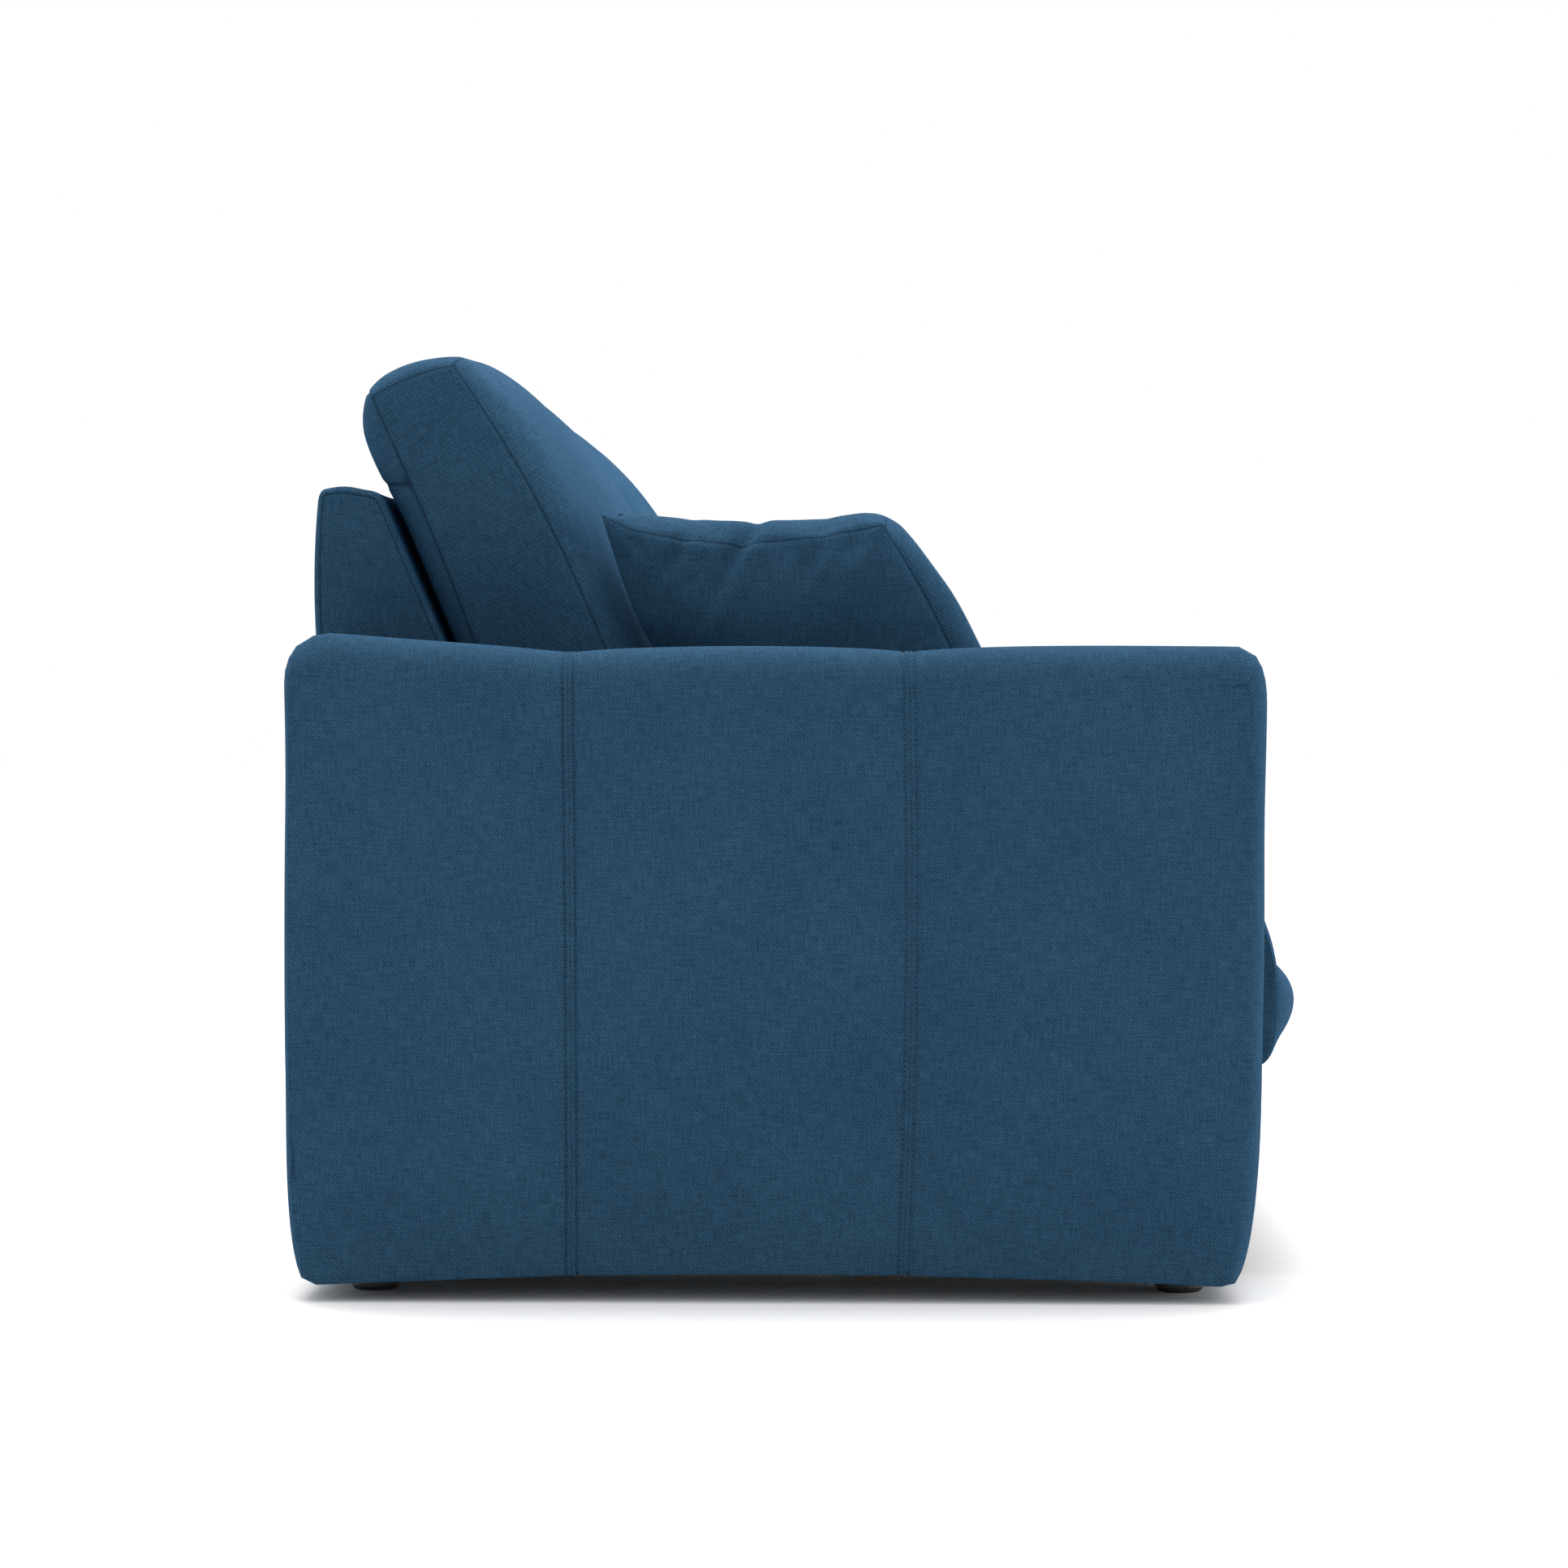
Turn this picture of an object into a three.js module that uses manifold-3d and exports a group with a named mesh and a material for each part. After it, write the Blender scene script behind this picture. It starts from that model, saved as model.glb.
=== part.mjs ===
// A futon sofa bed, in millimetres: +X to the front, +Y to the sitter's left, +Z up.
// The seat rolls out between two fixed arms. The back is hinged to it, and its tail runs
// in a cam slot on each arm, so one pull lays the back flat behind the seat.
import * as THREE from "three";
import { mergeVertices } from "three/addons/utils/BufferGeometryUtils.js";
import Module from "manifold-3d";

const wasm = await Module();
wasm.setup();
const { degToRad } = THREE.MathUtils;

// Whole sofa
const DEPTH = 1037; // rear of the arms to the front of the seat cushions
const REAR = -DEPTH / 2;
const INNER = 950; // middle plane to an arm's inner face
const ARM_THICKNESS = 220;
const OUTER = INNER + ARM_THICKNESS;
const SIDES = [["right", -1], ["left", 1]];
const GAP = 0.3; // between pieces that touch

// Arms
const ARM_FRONT = REAR + 974;
const ARM_TOP = 649;
const ARM_REAR_TOP = 662; // the top rises a little towards the rear
const ARM_BOTTOM = 15; // at the four corners
const ARM_ARCH = 36; // how high the bottom edge's curve aims in the middle
const ARM_EDGE = 16; // radius of the padded edges
const PADDING = 25; // foam and fabric over the arm's box
const BOX_FRONT = ARM_FRONT - PADDING;
const BOX_REAR = REAR + PADDING;
const BOX_TOP = ARM_TOP - 27;
const BOX_BOTTOM = 27;
const BOARD = 18; // plywood of the arm boxes
const GLIDE_RADIUS = 25;

// Boards and beams between the arms
const MOUNT_REAR = REAR + 17; // the board that carries the mechanism on each arm
const MOUNT_FRONT = 420;
const MOUNT_BOTTOM = 60;
const MOUNT_TOP = 400;

// Motion
const PIVOT = new THREE.Vector2(-111.5, 450); // x and z of the hinge between seat and back
const STROKE = 220; // how far the seat rolls out
const RECLINE = degToRad(67);
const LEAN = degToRad(23); // the back's slope at rest, from upright
const TAIL = new THREE.Vector2(-120, -220); // from the hinge to the cam roller at rest
const ROLLER_RADIUS = 9;
const SLOT_HALF = ROLLER_RADIUS + 1;

// Layers of the mechanism, as distances from the middle plane
const SOFT_HALF = 930; // cushions and back
const FRAME_HALF = 933.7; // the seat frame's sides
const BRACKET = [FRAME_HALF + GAP, 938];
const HINGE_ARM = [939, 943];
const GUIDE = [945, INNER - 0.1];

// Slides
const RAIL_BOTTOM = 122;
const RAIL_TOP = 160;
const RAIL_STEEL = 3;
const RAIL_MOUTH = 935; // distance of its open side from the middle plane

// Seat
const SEAT_REAR = PIVOT.x + 3;
const SEAT_FRAME_FRONT = 450;
const SEAT_FRAME_BOTTOM = 115;
const SEAT_FRAME_TOP = 185;
const FRAME_BOARD = 28;
const SLAT_TOP = 203;
const SLAT_WIDTH = 72;
const SLATS = 8;
const WHEEL = { x: 400, y: 780, radius: 27, half: 12, bore: 5.3 };

// Back
const SHELL_FRONT = -168; // its front face, measured forwards from the hinge
const SHELL_REAR = REAR + 4;
const SHELL_TOP = 815;
const SHELL_FOOT = 445; // its lower rear edge
const FRAME_FACE = -204; // front of the ribs inside the back
const RIB_BOARD = 22;
const RIB_HALF = 907; // middle plane to the outside of the end ribs
const HINGE_BOLTS = [backPoint(130, -228), backPoint(270, -228)];

// Pillows
const PILLOW_THICKNESS = 140;
const PILLOW_TILT = degToRad(11); // its top leans outwards

const fabric = material(0x28485f, 0.95);
const timber = material(0xb98d5c, 0.7);
const steel = material(0x2b2d30, 0.45);
const zinc = material(0xb9bcc0, 0.3);
const aluminium = material(0xc9ccd0, 0.35);
const plastic = material(0x1d1e20, 0.6);
const rubber = material(0x2a2a2b, 0.9);

function material(color, roughness) {
  return new THREE.MeshStandardMaterial({ color, roughness });
}

const sofa = new THREE.Group();
sofa.name = "futon_sofa_bed";

function add(name, geometry, look) {
  const mesh = new THREE.Mesh(geometry, look.clone());
  mesh.name = name;
  sofa.add(mesh);
}

// A point of the back at rest: so far up its slope, and so far forwards of the hinge.
function backPoint(up, forward) {
  const x = PIVOT.x - up * Math.sin(LEAN) + forward * Math.cos(LEAN);
  const z = PIVOT.y + up * Math.cos(LEAN) + forward * Math.sin(LEAN);
  return new THREE.Vector2(x, z);
}

// --- solids ---

function manifoldOf(geometry) {
  const bare = geometry.index ? geometry.toNonIndexed() : geometry.clone();
  bare.deleteAttribute("normal");
  bare.deleteAttribute("uv");
  const merged = mergeVertices(bare, 1e-3);
  const vertProperties = merged.attributes.position.array;
  const triVerts = new Uint32Array(merged.index.array);
  return new wasm.Manifold(new wasm.Mesh({ numProp: 3, vertProperties, triVerts }));
}

function geometryOf(manifold) {
  const mesh = manifold.getMesh();
  const geometry = new THREE.BufferGeometry();
  geometry.setAttribute("position", new THREE.BufferAttribute(mesh.vertProperties, 3));
  geometry.setIndex(new THREE.BufferAttribute(mesh.triVerts, 1));
  return geometry;
}

function cut(geometry, ...tools) {
  let left = manifoldOf(geometry);
  for (const tool of tools) left = left.subtract(manifoldOf(tool));
  return geometryOf(left);
}

function join(first, ...others) {
  let whole = manifoldOf(first);
  for (const other of others) whole = whole.add(manifoldOf(other));
  return geometryOf(whole);
}

function box(x, y, z) {
  const geometry = new THREE.BoxGeometry(x[1] - x[0], y[1] - y[0], z[1] - z[0]);
  return geometry.translate((x[0] + x[1]) / 2, (y[0] + y[1]) / 2, (z[0] + z[1]) / 2);
}

// The y range of a layer on one side, from its distances to the middle plane.
function layer(sign, [near, far]) {
  return sign > 0 ? [near, far] : [-far, -near];
}

// An outline in x and z, given thickness along y.
function slab(outline, [from, to]) {
  const geometry = new THREE.ExtrudeGeometry(outline, {
    depth: to - from,
    curveSegments: 6,
    bevelEnabled: false,
  });
  return geometry.rotateX(Math.PI / 2).translate(0, to, 0);
}

// The same with soft edges: towards each end the outline shrinks along a quarter circle.
function padded(outline, [from, to], round, curveSegments = 5, rings = 3) {
  const points = outline.getPoints(curveSegments);
  if (points[0].distanceTo(points.at(-1)) < 0.01) points.pop();
  if (THREE.ShapeUtils.isClockWise(points)) points.reverse();
  const bounds = new THREE.Box2().setFromPoints(points);
  const middle = bounds.getCenter(new THREE.Vector2());
  const half = bounds.getSize(new THREE.Vector2()).multiplyScalar(0.5);
  const positions = [];
  const addRing = (inset, y) => {
    for (const p of points) {
      const x = middle.x + (p.x - middle.x) * (1 - inset / half.x);
      const z = middle.y + (p.y - middle.y) * (1 - inset / half.y);
      positions.push(x, y, z);
    }
  };
  const quarter = Array.from({ length: rings + 1 }, (_, i) => (i / rings) * (Math.PI / 2));
  for (const a of quarter) addRing(round * (1 - Math.sin(a)), from + round * (1 - Math.cos(a)));
  for (const a of quarter.reverse()) addRing(round * (1 - Math.sin(a)), to - round * (1 - Math.cos(a)));
  const count = points.length;
  const last = count * (2 * rings + 1);
  const index = [];
  for (const [a, b, c] of THREE.ShapeUtils.triangulateShape(points, [])) {
    index.push(a, b, c, last + a, last + c, last + b);
  }
  for (let ring = 0; ring < last; ring += count) {
    for (let i = 0; i < count; i++) {
      const next = (i + 1) % count;
      index.push(ring + i, ring + count + i, ring + next);
      index.push(ring + next, ring + count + i, ring + count + next);
    }
  }
  const geometry = new THREE.BufferGeometry();
  geometry.setAttribute("position", new THREE.Float32BufferAttribute(positions, 3));
  return geometry.setIndex(index);
}

function polygon(...points) {
  return new THREE.Shape(points.map((p) => (p.isVector2 ? p : new THREE.Vector2(...p))));
}

// A flat bar with round ends between two points.
function bar(a, b, radius, range) {
  const angle = Math.atan2(b.y - a.y, b.x - a.x);
  const outline = new THREE.Shape();
  outline.absarc(a.x, a.y, radius, angle + Math.PI / 2, angle + 1.5 * Math.PI);
  outline.absarc(b.x, b.y, radius, angle - Math.PI / 2, angle + Math.PI / 2);
  outline.closePath();
  return slab(outline, range);
}

function cylinder(x, z, radius, [from, to], segments = 16) {
  const geometry = new THREE.CylinderGeometry(radius, radius, to - from, segments);
  return geometry.translate(x, (from + to) / 2, z);
}

// A turned piece along y: pairs of radius and distance from the middle plane, on one side.
function turned(x, z, sign, profile, segments = 12) {
  const points = profile.map(([radius, y]) => new THREE.Vector2(radius, y));
  const geometry = new THREE.LatheGeometry(points, segments);
  if (sign < 0) geometry.rotateZ(Math.PI);
  return geometry.translate(x, 0, z);
}

// --- the fixed part ---

function armOutline() {
  const outline = new THREE.Shape();
  outline.moveTo(ARM_FRONT - 34, ARM_BOTTOM);
  outline.quadraticCurveTo(ARM_FRONT - 5, 32, ARM_FRONT - 4, 240);
  outline.lineTo(ARM_FRONT, 595);
  outline.quadraticCurveTo(ARM_FRONT, ARM_TOP, ARM_FRONT - 30, ARM_TOP);
  outline.lineTo(-266, ARM_TOP);
  outline.quadraticCurveTo(-380, ARM_TOP + 5, REAR + 46, ARM_REAR_TOP);
  outline.quadraticCurveTo(REAR, ARM_REAR_TOP, REAR, ARM_REAR_TOP - 50);
  outline.lineTo(REAR, 170);
  outline.quadraticCurveTo(REAR + 2, 18, REAR + 24, ARM_BOTTOM);
  outline.quadraticCurveTo(-40, ARM_ARCH, ARM_FRONT - 34, ARM_BOTTOM);
  return outline;
}

function armUpholstery(sign) {
  const whole = padded(armOutline(), layer(sign, [INNER, OUTER]), ARM_EDGE);
  const around = [INNER + PADDING, OUTER - PADDING];
  const hollow = box([BOX_REAR, BOX_FRONT], layer(sign, around), [-10, BOX_TOP]);
  const mount = box(
    [MOUNT_REAR - GAP, MOUNT_FRONT + GAP],
    layer(sign, [INNER - 5, INNER + PADDING + 1]),
    [-10, MOUNT_TOP + GAP],
  );
  return cut(whole, hollow, mount);
}

// A closed plywood box with a small vent hole in its bottom board.
function armFrame(sign) {
  const x = [BOX_REAR + GAP, BOX_FRONT - GAP];
  const y = layer(sign, [INNER + PADDING + GAP, OUTER - PADDING - GAP]);
  const z = [BOX_BOTTOM, BOX_TOP - GAP];
  const [inX, inY, inZ] = [x, y, z].map(([from, to]) => [from + BOARD, to - BOARD]);
  const vent = cylinder(0, 0, 5, [-BOARD - 1, BOARD + 1], 8).rotateX(Math.PI / 2);
  vent.translate(0, sign * (INNER + OUTER) / 2, BOX_BOTTOM);
  return cut(box(x, y, z), box(inX, inY, inZ), vent);
}

function glide(x, sign) {
  const height = BOX_BOTTOM - GAP;
  const profile = [[0, 0], [GLIDE_RADIUS - 4, 0], [GLIDE_RADIUS, 5], [GLIDE_RADIUS, height], [0, height]];
  const points = profile.map((p) => new THREE.Vector2(...p));
  const geometry = new THREE.LatheGeometry(points, 20).rotateX(Math.PI / 2);
  return geometry.translate(x, sign * (INNER + OUTER) / 2, 0);
}

// Where the cam roller's middle is, for a share of the stroke.
function rollerAt(share) {
  const moved = TAIL.clone().rotateAround(new THREE.Vector2(), RECLINE * share);
  return moved.add(PIVOT).add(new THREE.Vector2(STROKE * share, 0));
}

// The cam slot follows the roller's path and ends in half circles.
function slotOutline() {
  const steps = 12;
  const upper = [];
  const lower = [];
  for (let i = 0; i <= steps; i++) {
    const here = rollerAt(i / steps);
    const ahead = rollerAt(i / steps + 0.01).sub(here).normalize();
    const across = new THREE.Vector2(-ahead.y, ahead.x).multiplyScalar(SLOT_HALF);
    upper.push(here.clone().add(across));
    lower.push(here.clone().sub(across));
  }
  return [...roundEnd(lower[0], upper[0]), ...upper, ...roundEnd(upper[steps], lower[steps]), ...lower.reverse()];
}

// Points of the half circle that goes clockwise from one point to another.
function roundEnd(from, to) {
  const middle = from.clone().add(to).multiplyScalar(0.5);
  return [1, 2, 3].map((i) => from.clone().rotateAround(middle, (-i * Math.PI) / 4));
}

function guidePlate(sign) {
  const outline = polygon([-275, 178], [0, 168], [300, 212], [306, 285], [150, 262], [-120, 232], [-210, 268], [-275, 262]);
  const range = layer(sign, GUIDE);
  return cut(slab(outline, range), slab(new THREE.Shape(slotOutline()), [range[0] - 5, range[1] + 5]));
}

// A steel channel that is open towards the middle.
function outerRail(sign) {
  const ends = [REAR + 50, MOUNT_FRONT];
  const whole = box(ends, layer(sign, [RAIL_MOUTH, INNER - 0.1]), [RAIL_BOTTOM, RAIL_TOP]);
  const inside = [RAIL_BOTTOM + RAIL_STEEL, RAIL_TOP - RAIL_STEEL];
  return cut(whole, box([REAR, ARM_FRONT], layer(sign, [RAIL_MOUTH - 5, INNER - RAIL_STEEL]), inside));
}

for (const [side, sign] of SIDES) {
  add(`arm_frame_${side}`, armFrame(sign), timber);
  add(`arm_upholstery_${side}`, armUpholstery(sign), fabric);
  const mount = layer(sign, [INNER, INNER + PADDING]);
  add(`mounting_board_${side}`, box([MOUNT_REAR, MOUNT_FRONT], mount, [MOUNT_BOTTOM, MOUNT_TOP]), timber);
  add(`glide_front_${side}`, glide(BOX_FRONT - 55, sign), plastic);
  add(`glide_rear_${side}`, glide(BOX_REAR + 55, sign), plastic);
  add(`guide_plate_${side}`, guidePlate(sign), steel);
  add(`outer_rail_${side}`, outerRail(sign), zinc);
}
const BETWEEN = [GAP - INNER, INNER - GAP];
add("rear_panel", box([REAR, REAR + 15], BETWEEN, [35, 390]), fabric);
add("rear_beam", box([REAR + 15 + GAP, REAR + 62], BETWEEN, [62, 115]), timber);
add("front_beam", box([300, 340], BETWEEN, [62, 102]), timber);

// --- the seat, which slides ---

function seatFrame() {
  const range = [SEAT_REAR, SEAT_FRAME_FRONT];
  const whole = box(range, [-FRAME_HALF, FRAME_HALF], [SEAT_FRAME_BOTTOM, SEAT_FRAME_TOP]);
  const bays = SIDES.map(([, sign]) =>
    box(
      [range[0] + FRAME_BOARD, range[1] - FRAME_BOARD],
      layer(sign, [FRAME_BOARD / 2, FRAME_HALF - FRAME_BOARD]),
      [SEAT_FRAME_BOTTOM - 5, SEAT_FRAME_TOP + 5],
    ),
  );
  return cut(whole, ...bays);
}

// A steel plate screwed to the seat frame, with its eye at the hinge.
function seatBracket(sign) {
  const range = layer(sign, BRACKET);
  const foot = polygon([SEAT_REAR, 163], [70, 163], [70, 183], [-20, 215], [-75, 300], [SEAT_REAR, 330]);
  const upright = bar(new THREE.Vector2(SEAT_REAR + 14, 260), PIVOT, 18, range);
  return cut(join(slab(foot, range), upright), cylinder(PIVOT.x, PIVOT.y, 8.4, [-INNER, INNER]));
}

function pivotPin(sign) {
  const profile = [
    [0, SOFT_HALF + 1],
    [11, SOFT_HALF + 1],
    [11, BRACKET[0] - GAP],
    [8, BRACKET[0] - GAP],
    [8, HINGE_ARM[1] + GAP],
    [13, HINGE_ARM[1] + GAP],
    [13, HINGE_ARM[1] + 4],
    [0, HINGE_ARM[1] + 4],
  ];
  return turned(PIVOT.x, PIVOT.y, sign, profile);
}

// Thick, with a low front seam and a full rounded shoulder above it.
function seatCushion(range) {
  const bottom = SLAT_TOP + GAP;
  const front = DEPTH / 2;
  const seam = front - 27;
  const outline = new THREE.Shape();
  outline.moveTo(SEAT_REAR + 12, bottom);
  outline.lineTo(seam - 40, bottom);
  outline.quadraticCurveTo(seam - 4, bottom, seam, bottom + 24);
  outline.quadraticCurveTo(2 * front - seam, 280, seam, 318);
  outline.quadraticCurveTo(seam - 14, 440, 330, 453);
  outline.quadraticCurveTo(160, 462, 30, 456);
  outline.lineTo(SEAT_REAR + 18, 449);
  outline.quadraticCurveTo(SEAT_REAR, 447, SEAT_REAR, 425);
  outline.lineTo(SEAT_REAR, bottom + 14);
  outline.quadraticCurveTo(SEAT_REAR, bottom, SEAT_REAR + 12, bottom);
  return padded(outline, range, 24, 4);
}

// A fork under the seat frame: a plate with two cheeks.
function casterBracket(sign) {
  const y = sign * WHEEL.y;
  const top = SEAT_FRAME_BOTTOM - GAP;
  const plate = box([WHEEL.x - 32, WHEEL.x + 32], [y - 24, y + 24], [top - 6, top]);
  const cheeks = SIDES.map(([, way]) => {
    const range = layer(way, [WHEEL.half + 2, WHEEL.half + 5]).map((edge) => y + edge);
    const outline = polygon(
      [WHEEL.x - 30, top - 3],
      [WHEEL.x - 12, WHEEL.radius - 11],
      [WHEEL.x + 12, WHEEL.radius - 11],
      [WHEEL.x + 30, top - 3],
    );
    return slab(outline.clone(), range);
  });
  const hole = cylinder(WHEEL.x, WHEEL.radius, 5.3, [y - 40, y + 40]);
  return cut(join(plate, ...cheeks), hole);
}

function axle(sign) {
  const half = WHEEL.half + 8;
  const profile = [[0, -half], [8, -half], [8, -half + 2.5], [5, -half + 2.5], [5, half], [0, half]];
  return turned(WHEEL.x, WHEEL.radius, 1, profile).translate(0, sign * WHEEL.y, 0);
}

function wheel(sign) {
  const { radius, half, bore } = WHEEL;
  const profile = [
    [bore, -half],
    [radius - 4, -half],
    [radius, -half + 5],
    [radius, half - 5],
    [radius - 4, half],
    [bore, half],
    [bore, -half],
  ];
  return turned(WHEEL.x, radius, 1, profile, 24).translate(0, sign * WHEEL.y, 0);
}

add("seat_frame", seatFrame(), timber);
for (let i = 0; i < SLATS; i++) {
  const pitch = (2 * FRAME_HALF - 2 * SLAT_WIDTH) / (SLATS - 1);
  const middle = -FRAME_HALF + SLAT_WIDTH + i * pitch;
  const across = [middle - SLAT_WIDTH / 2, middle + SLAT_WIDTH / 2];
  const slat = box([SEAT_REAR, SEAT_FRAME_FRONT], across, [SEAT_FRAME_TOP + GAP, SLAT_TOP]);
  add(`seat_slat_${i + 1}`, slat, timber);
}
const FRONT_BOARD = [SEAT_FRAME_FRONT + GAP, SEAT_FRAME_FRONT + 15];
add("front_board", box(FRONT_BOARD, [-SOFT_HALF, SOFT_HALF], [95, SLAT_TOP]), fabric);
for (const [side, sign] of SIDES) {
  const runner = [FRAME_HALF + GAP, INNER - RAIL_STEEL - 1];
  const height = [RAIL_BOTTOM + RAIL_STEEL + 1, RAIL_TOP - RAIL_STEEL - 1];
  add(`runner_${side}`, box([SEAT_REAR, MOUNT_FRONT], layer(sign, runner), height), aluminium);
  add(`seat_bracket_${side}`, seatBracket(sign), steel);
  add(`pivot_pin_${side}`, pivotPin(sign), zinc);
  add(`seat_cushion_${side}`, seatCushion(layer(sign, [6, SOFT_HALF])), fabric);
  add(`caster_bracket_${side}`, casterBracket(sign), zinc);
  add(`axle_${side}`, axle(sign), zinc);
  add(`wheel_${side}`, wheel(sign), rubber);
}

// --- the back, which lies down ---

// A padded wedge with an upright rear, open below.
function backShell() {
  const outline = new THREE.Shape();
  const foot = backPoint(5, SHELL_FRONT);
  const head = backPoint(460, SHELL_FRONT);
  outline.moveTo(foot.x, foot.y);
  outline.lineTo(head.x, head.y);
  outline.quadraticCurveTo(head.x - 4, SHELL_TOP, head.x - 20, SHELL_TOP);
  outline.lineTo(SHELL_REAR + 12, SHELL_TOP + 3);
  outline.quadraticCurveTo(SHELL_REAR, SHELL_TOP + 3, SHELL_REAR, SHELL_TOP - 12);
  outline.quadraticCurveTo(SHELL_REAR - 7, 730, SHELL_REAR, 640);
  outline.lineTo(SHELL_REAR, SHELL_FOOT);
  outline.closePath();
  const whole = padded(outline, [-SOFT_HALF, SOFT_HALF], 12, 3, 2);
  const face = FRAME_FACE + 12.4;
  const rear = SHELL_REAR + 22;
  const inside = polygon([rear, SHELL_FOOT - 60], [rear, 790], topOfPlane(face, 790), backPoint(-60, face));
  const hollow = slab(inside, [-RIB_HALF - 3, RIB_HALF + 3]);
  return cut(whole, hollow, ...boltHoles(6.4));
}

// Where a plane of the back, parallel to its front, reaches a height.
function topOfPlane(forward, z) {
  const up = (z - PIVOT.y - forward * Math.sin(LEAN)) / Math.cos(LEAN);
  return backPoint(up, forward);
}

function boltHoles(radius) {
  return HINGE_BOLTS.map((p) => cylinder(p.x, p.y, radius, [-INNER, INNER], 12));
}

// Three ribs and three rails in one glued frame.
function backFrame() {
  const rear = SHELL_REAR + 22.4;
  const top = 789.5;
  const outline = polygon([rear, SHELL_FOOT + 12], [rear, top], topOfPlane(FRAME_FACE, top), backPoint(38, FRAME_FACE));
  const ribs = [-RIB_HALF, -RIB_BOARD / 2, RIB_HALF - RIB_BOARD].map((y) => slab(outline, [y, y + RIB_BOARD]));
  const across = [1 - RIB_HALF, RIB_HALF - 1];
  const lower = polygon(
    backPoint(46, FRAME_FACE - 1),
    backPoint(106, FRAME_FACE - 1),
    backPoint(106, FRAME_FACE - 23),
    backPoint(62, FRAME_FACE - 23),
  );
  const rails = [
    slab(lower, across),
    box([rear + 1, rear + 23], across, [SHELL_FOOT + 22, SHELL_FOOT + 80]),
    box([rear + 1, rear + 11], across, [730, top - 1]),
  ];
  return cut(join(...ribs, ...rails), ...boltHoles(6.4));
}

function backSlat(up) {
  const front = FRAME_FACE + 12;
  const rear = FRAME_FACE + GAP;
  const outline = polygon(
    backPoint(up - 32, front),
    backPoint(up - 32, rear),
    backPoint(up + 32, rear),
    backPoint(up + 32, front),
  );
  return slab(outline, [-RIB_HALF, RIB_HALF]);
}

// A welded triangle of flat bars with an upper limb that is bolted to the back's end rib.
function hingeArm(sign) {
  const range = layer(sign, HINGE_ARM);
  const tail = rollerAt(0);
  const [lower, upper] = HINGE_BOLTS;
  const bars = [
    bar(PIVOT, lower, 18, range),
    bar(PIVOT, tail, 16, range),
    bar(tail, lower, 14, range),
    bar(lower, upper, 18, range),
  ];
  const holes = [cylinder(PIVOT.x, PIVOT.y, 8.4, [-INNER, INNER]), cylinder(tail.x, tail.y, 6.4, [-INNER, INNER])];
  return cut(join(...bars), ...holes, ...boltHoles(6.4));
}

// From the end rib out through the back's side, with a shoulder, and riveted flush in the arm.
function hingeBolt(point, sign) {
  const profile = [
    [0, RIB_HALF - 20],
    [6, RIB_HALF - 20],
    [6, SOFT_HALF + GAP],
    [10, SOFT_HALF + GAP],
    [10, HINGE_ARM[0] - GAP],
    [6, HINGE_ARM[0] - GAP],
    [6, HINGE_ARM[1]],
    [0, HINGE_ARM[1]],
  ];
  return turned(point.x, point.y, sign, profile);
}

// A stud riveted flush in the hinge arm's tail, with the roller on its outer end.
function camRoller(sign) {
  const profile = [
    [0, HINGE_ARM[0]],
    [6, HINGE_ARM[0]],
    [6, HINGE_ARM[1] + GAP],
    [ROLLER_RADIUS, HINGE_ARM[1] + GAP],
    [ROLLER_RADIUS, INNER - 1],
    [0, INNER - 1],
  ];
  const at = rollerAt(0);
  return turned(at.x, at.y, sign, profile, 16);
}

function backCushion(range) {
  const outline = new THREE.Shape();
  const go = (how, ...pairs) => {
    const numbers = pairs.flatMap(([up, forward]) => backPoint(up, forward).toArray());
    outline[how](...numbers);
  };
  go("moveTo", [6, -20]);
  go("quadraticCurveTo", [14, 30], [110, 34]);
  go("lineTo", [340, 36]);
  go("quadraticCurveTo", [500, 36], [560, -24]);
  go("quadraticCurveTo", [578, -60], [566, -120]);
  go("quadraticCurveTo", [552, -156], [470, -160]);
  go("lineTo", [120, -162]);
  go("quadraticCurveTo", [20, -160], [6, -130]);
  outline.closePath();
  return padded(outline, range, 26, 4);
}

add("back_shell", backShell(), fabric);
add("back_frame", backFrame(), timber);
[150, 255, 360].forEach((up, i) => add(`back_slat_${i + 1}`, backSlat(up), timber));
for (const [side, sign] of SIDES) {
  add(`hinge_arm_${side}`, hingeArm(sign), steel);
  add(`hinge_bolt_lower_${side}`, hingeBolt(HINGE_BOLTS[0], sign), zinc);
  add(`hinge_bolt_upper_${side}`, hingeBolt(HINGE_BOLTS[1], sign), zinc);
  add(`cam_roller_${side}`, camRoller(sign), plastic);
  add(`back_cushion_${side}`, backCushion(layer(sign, [6, SOFT_HALF])), fabric);
}

// --- the loose pillows ---

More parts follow.
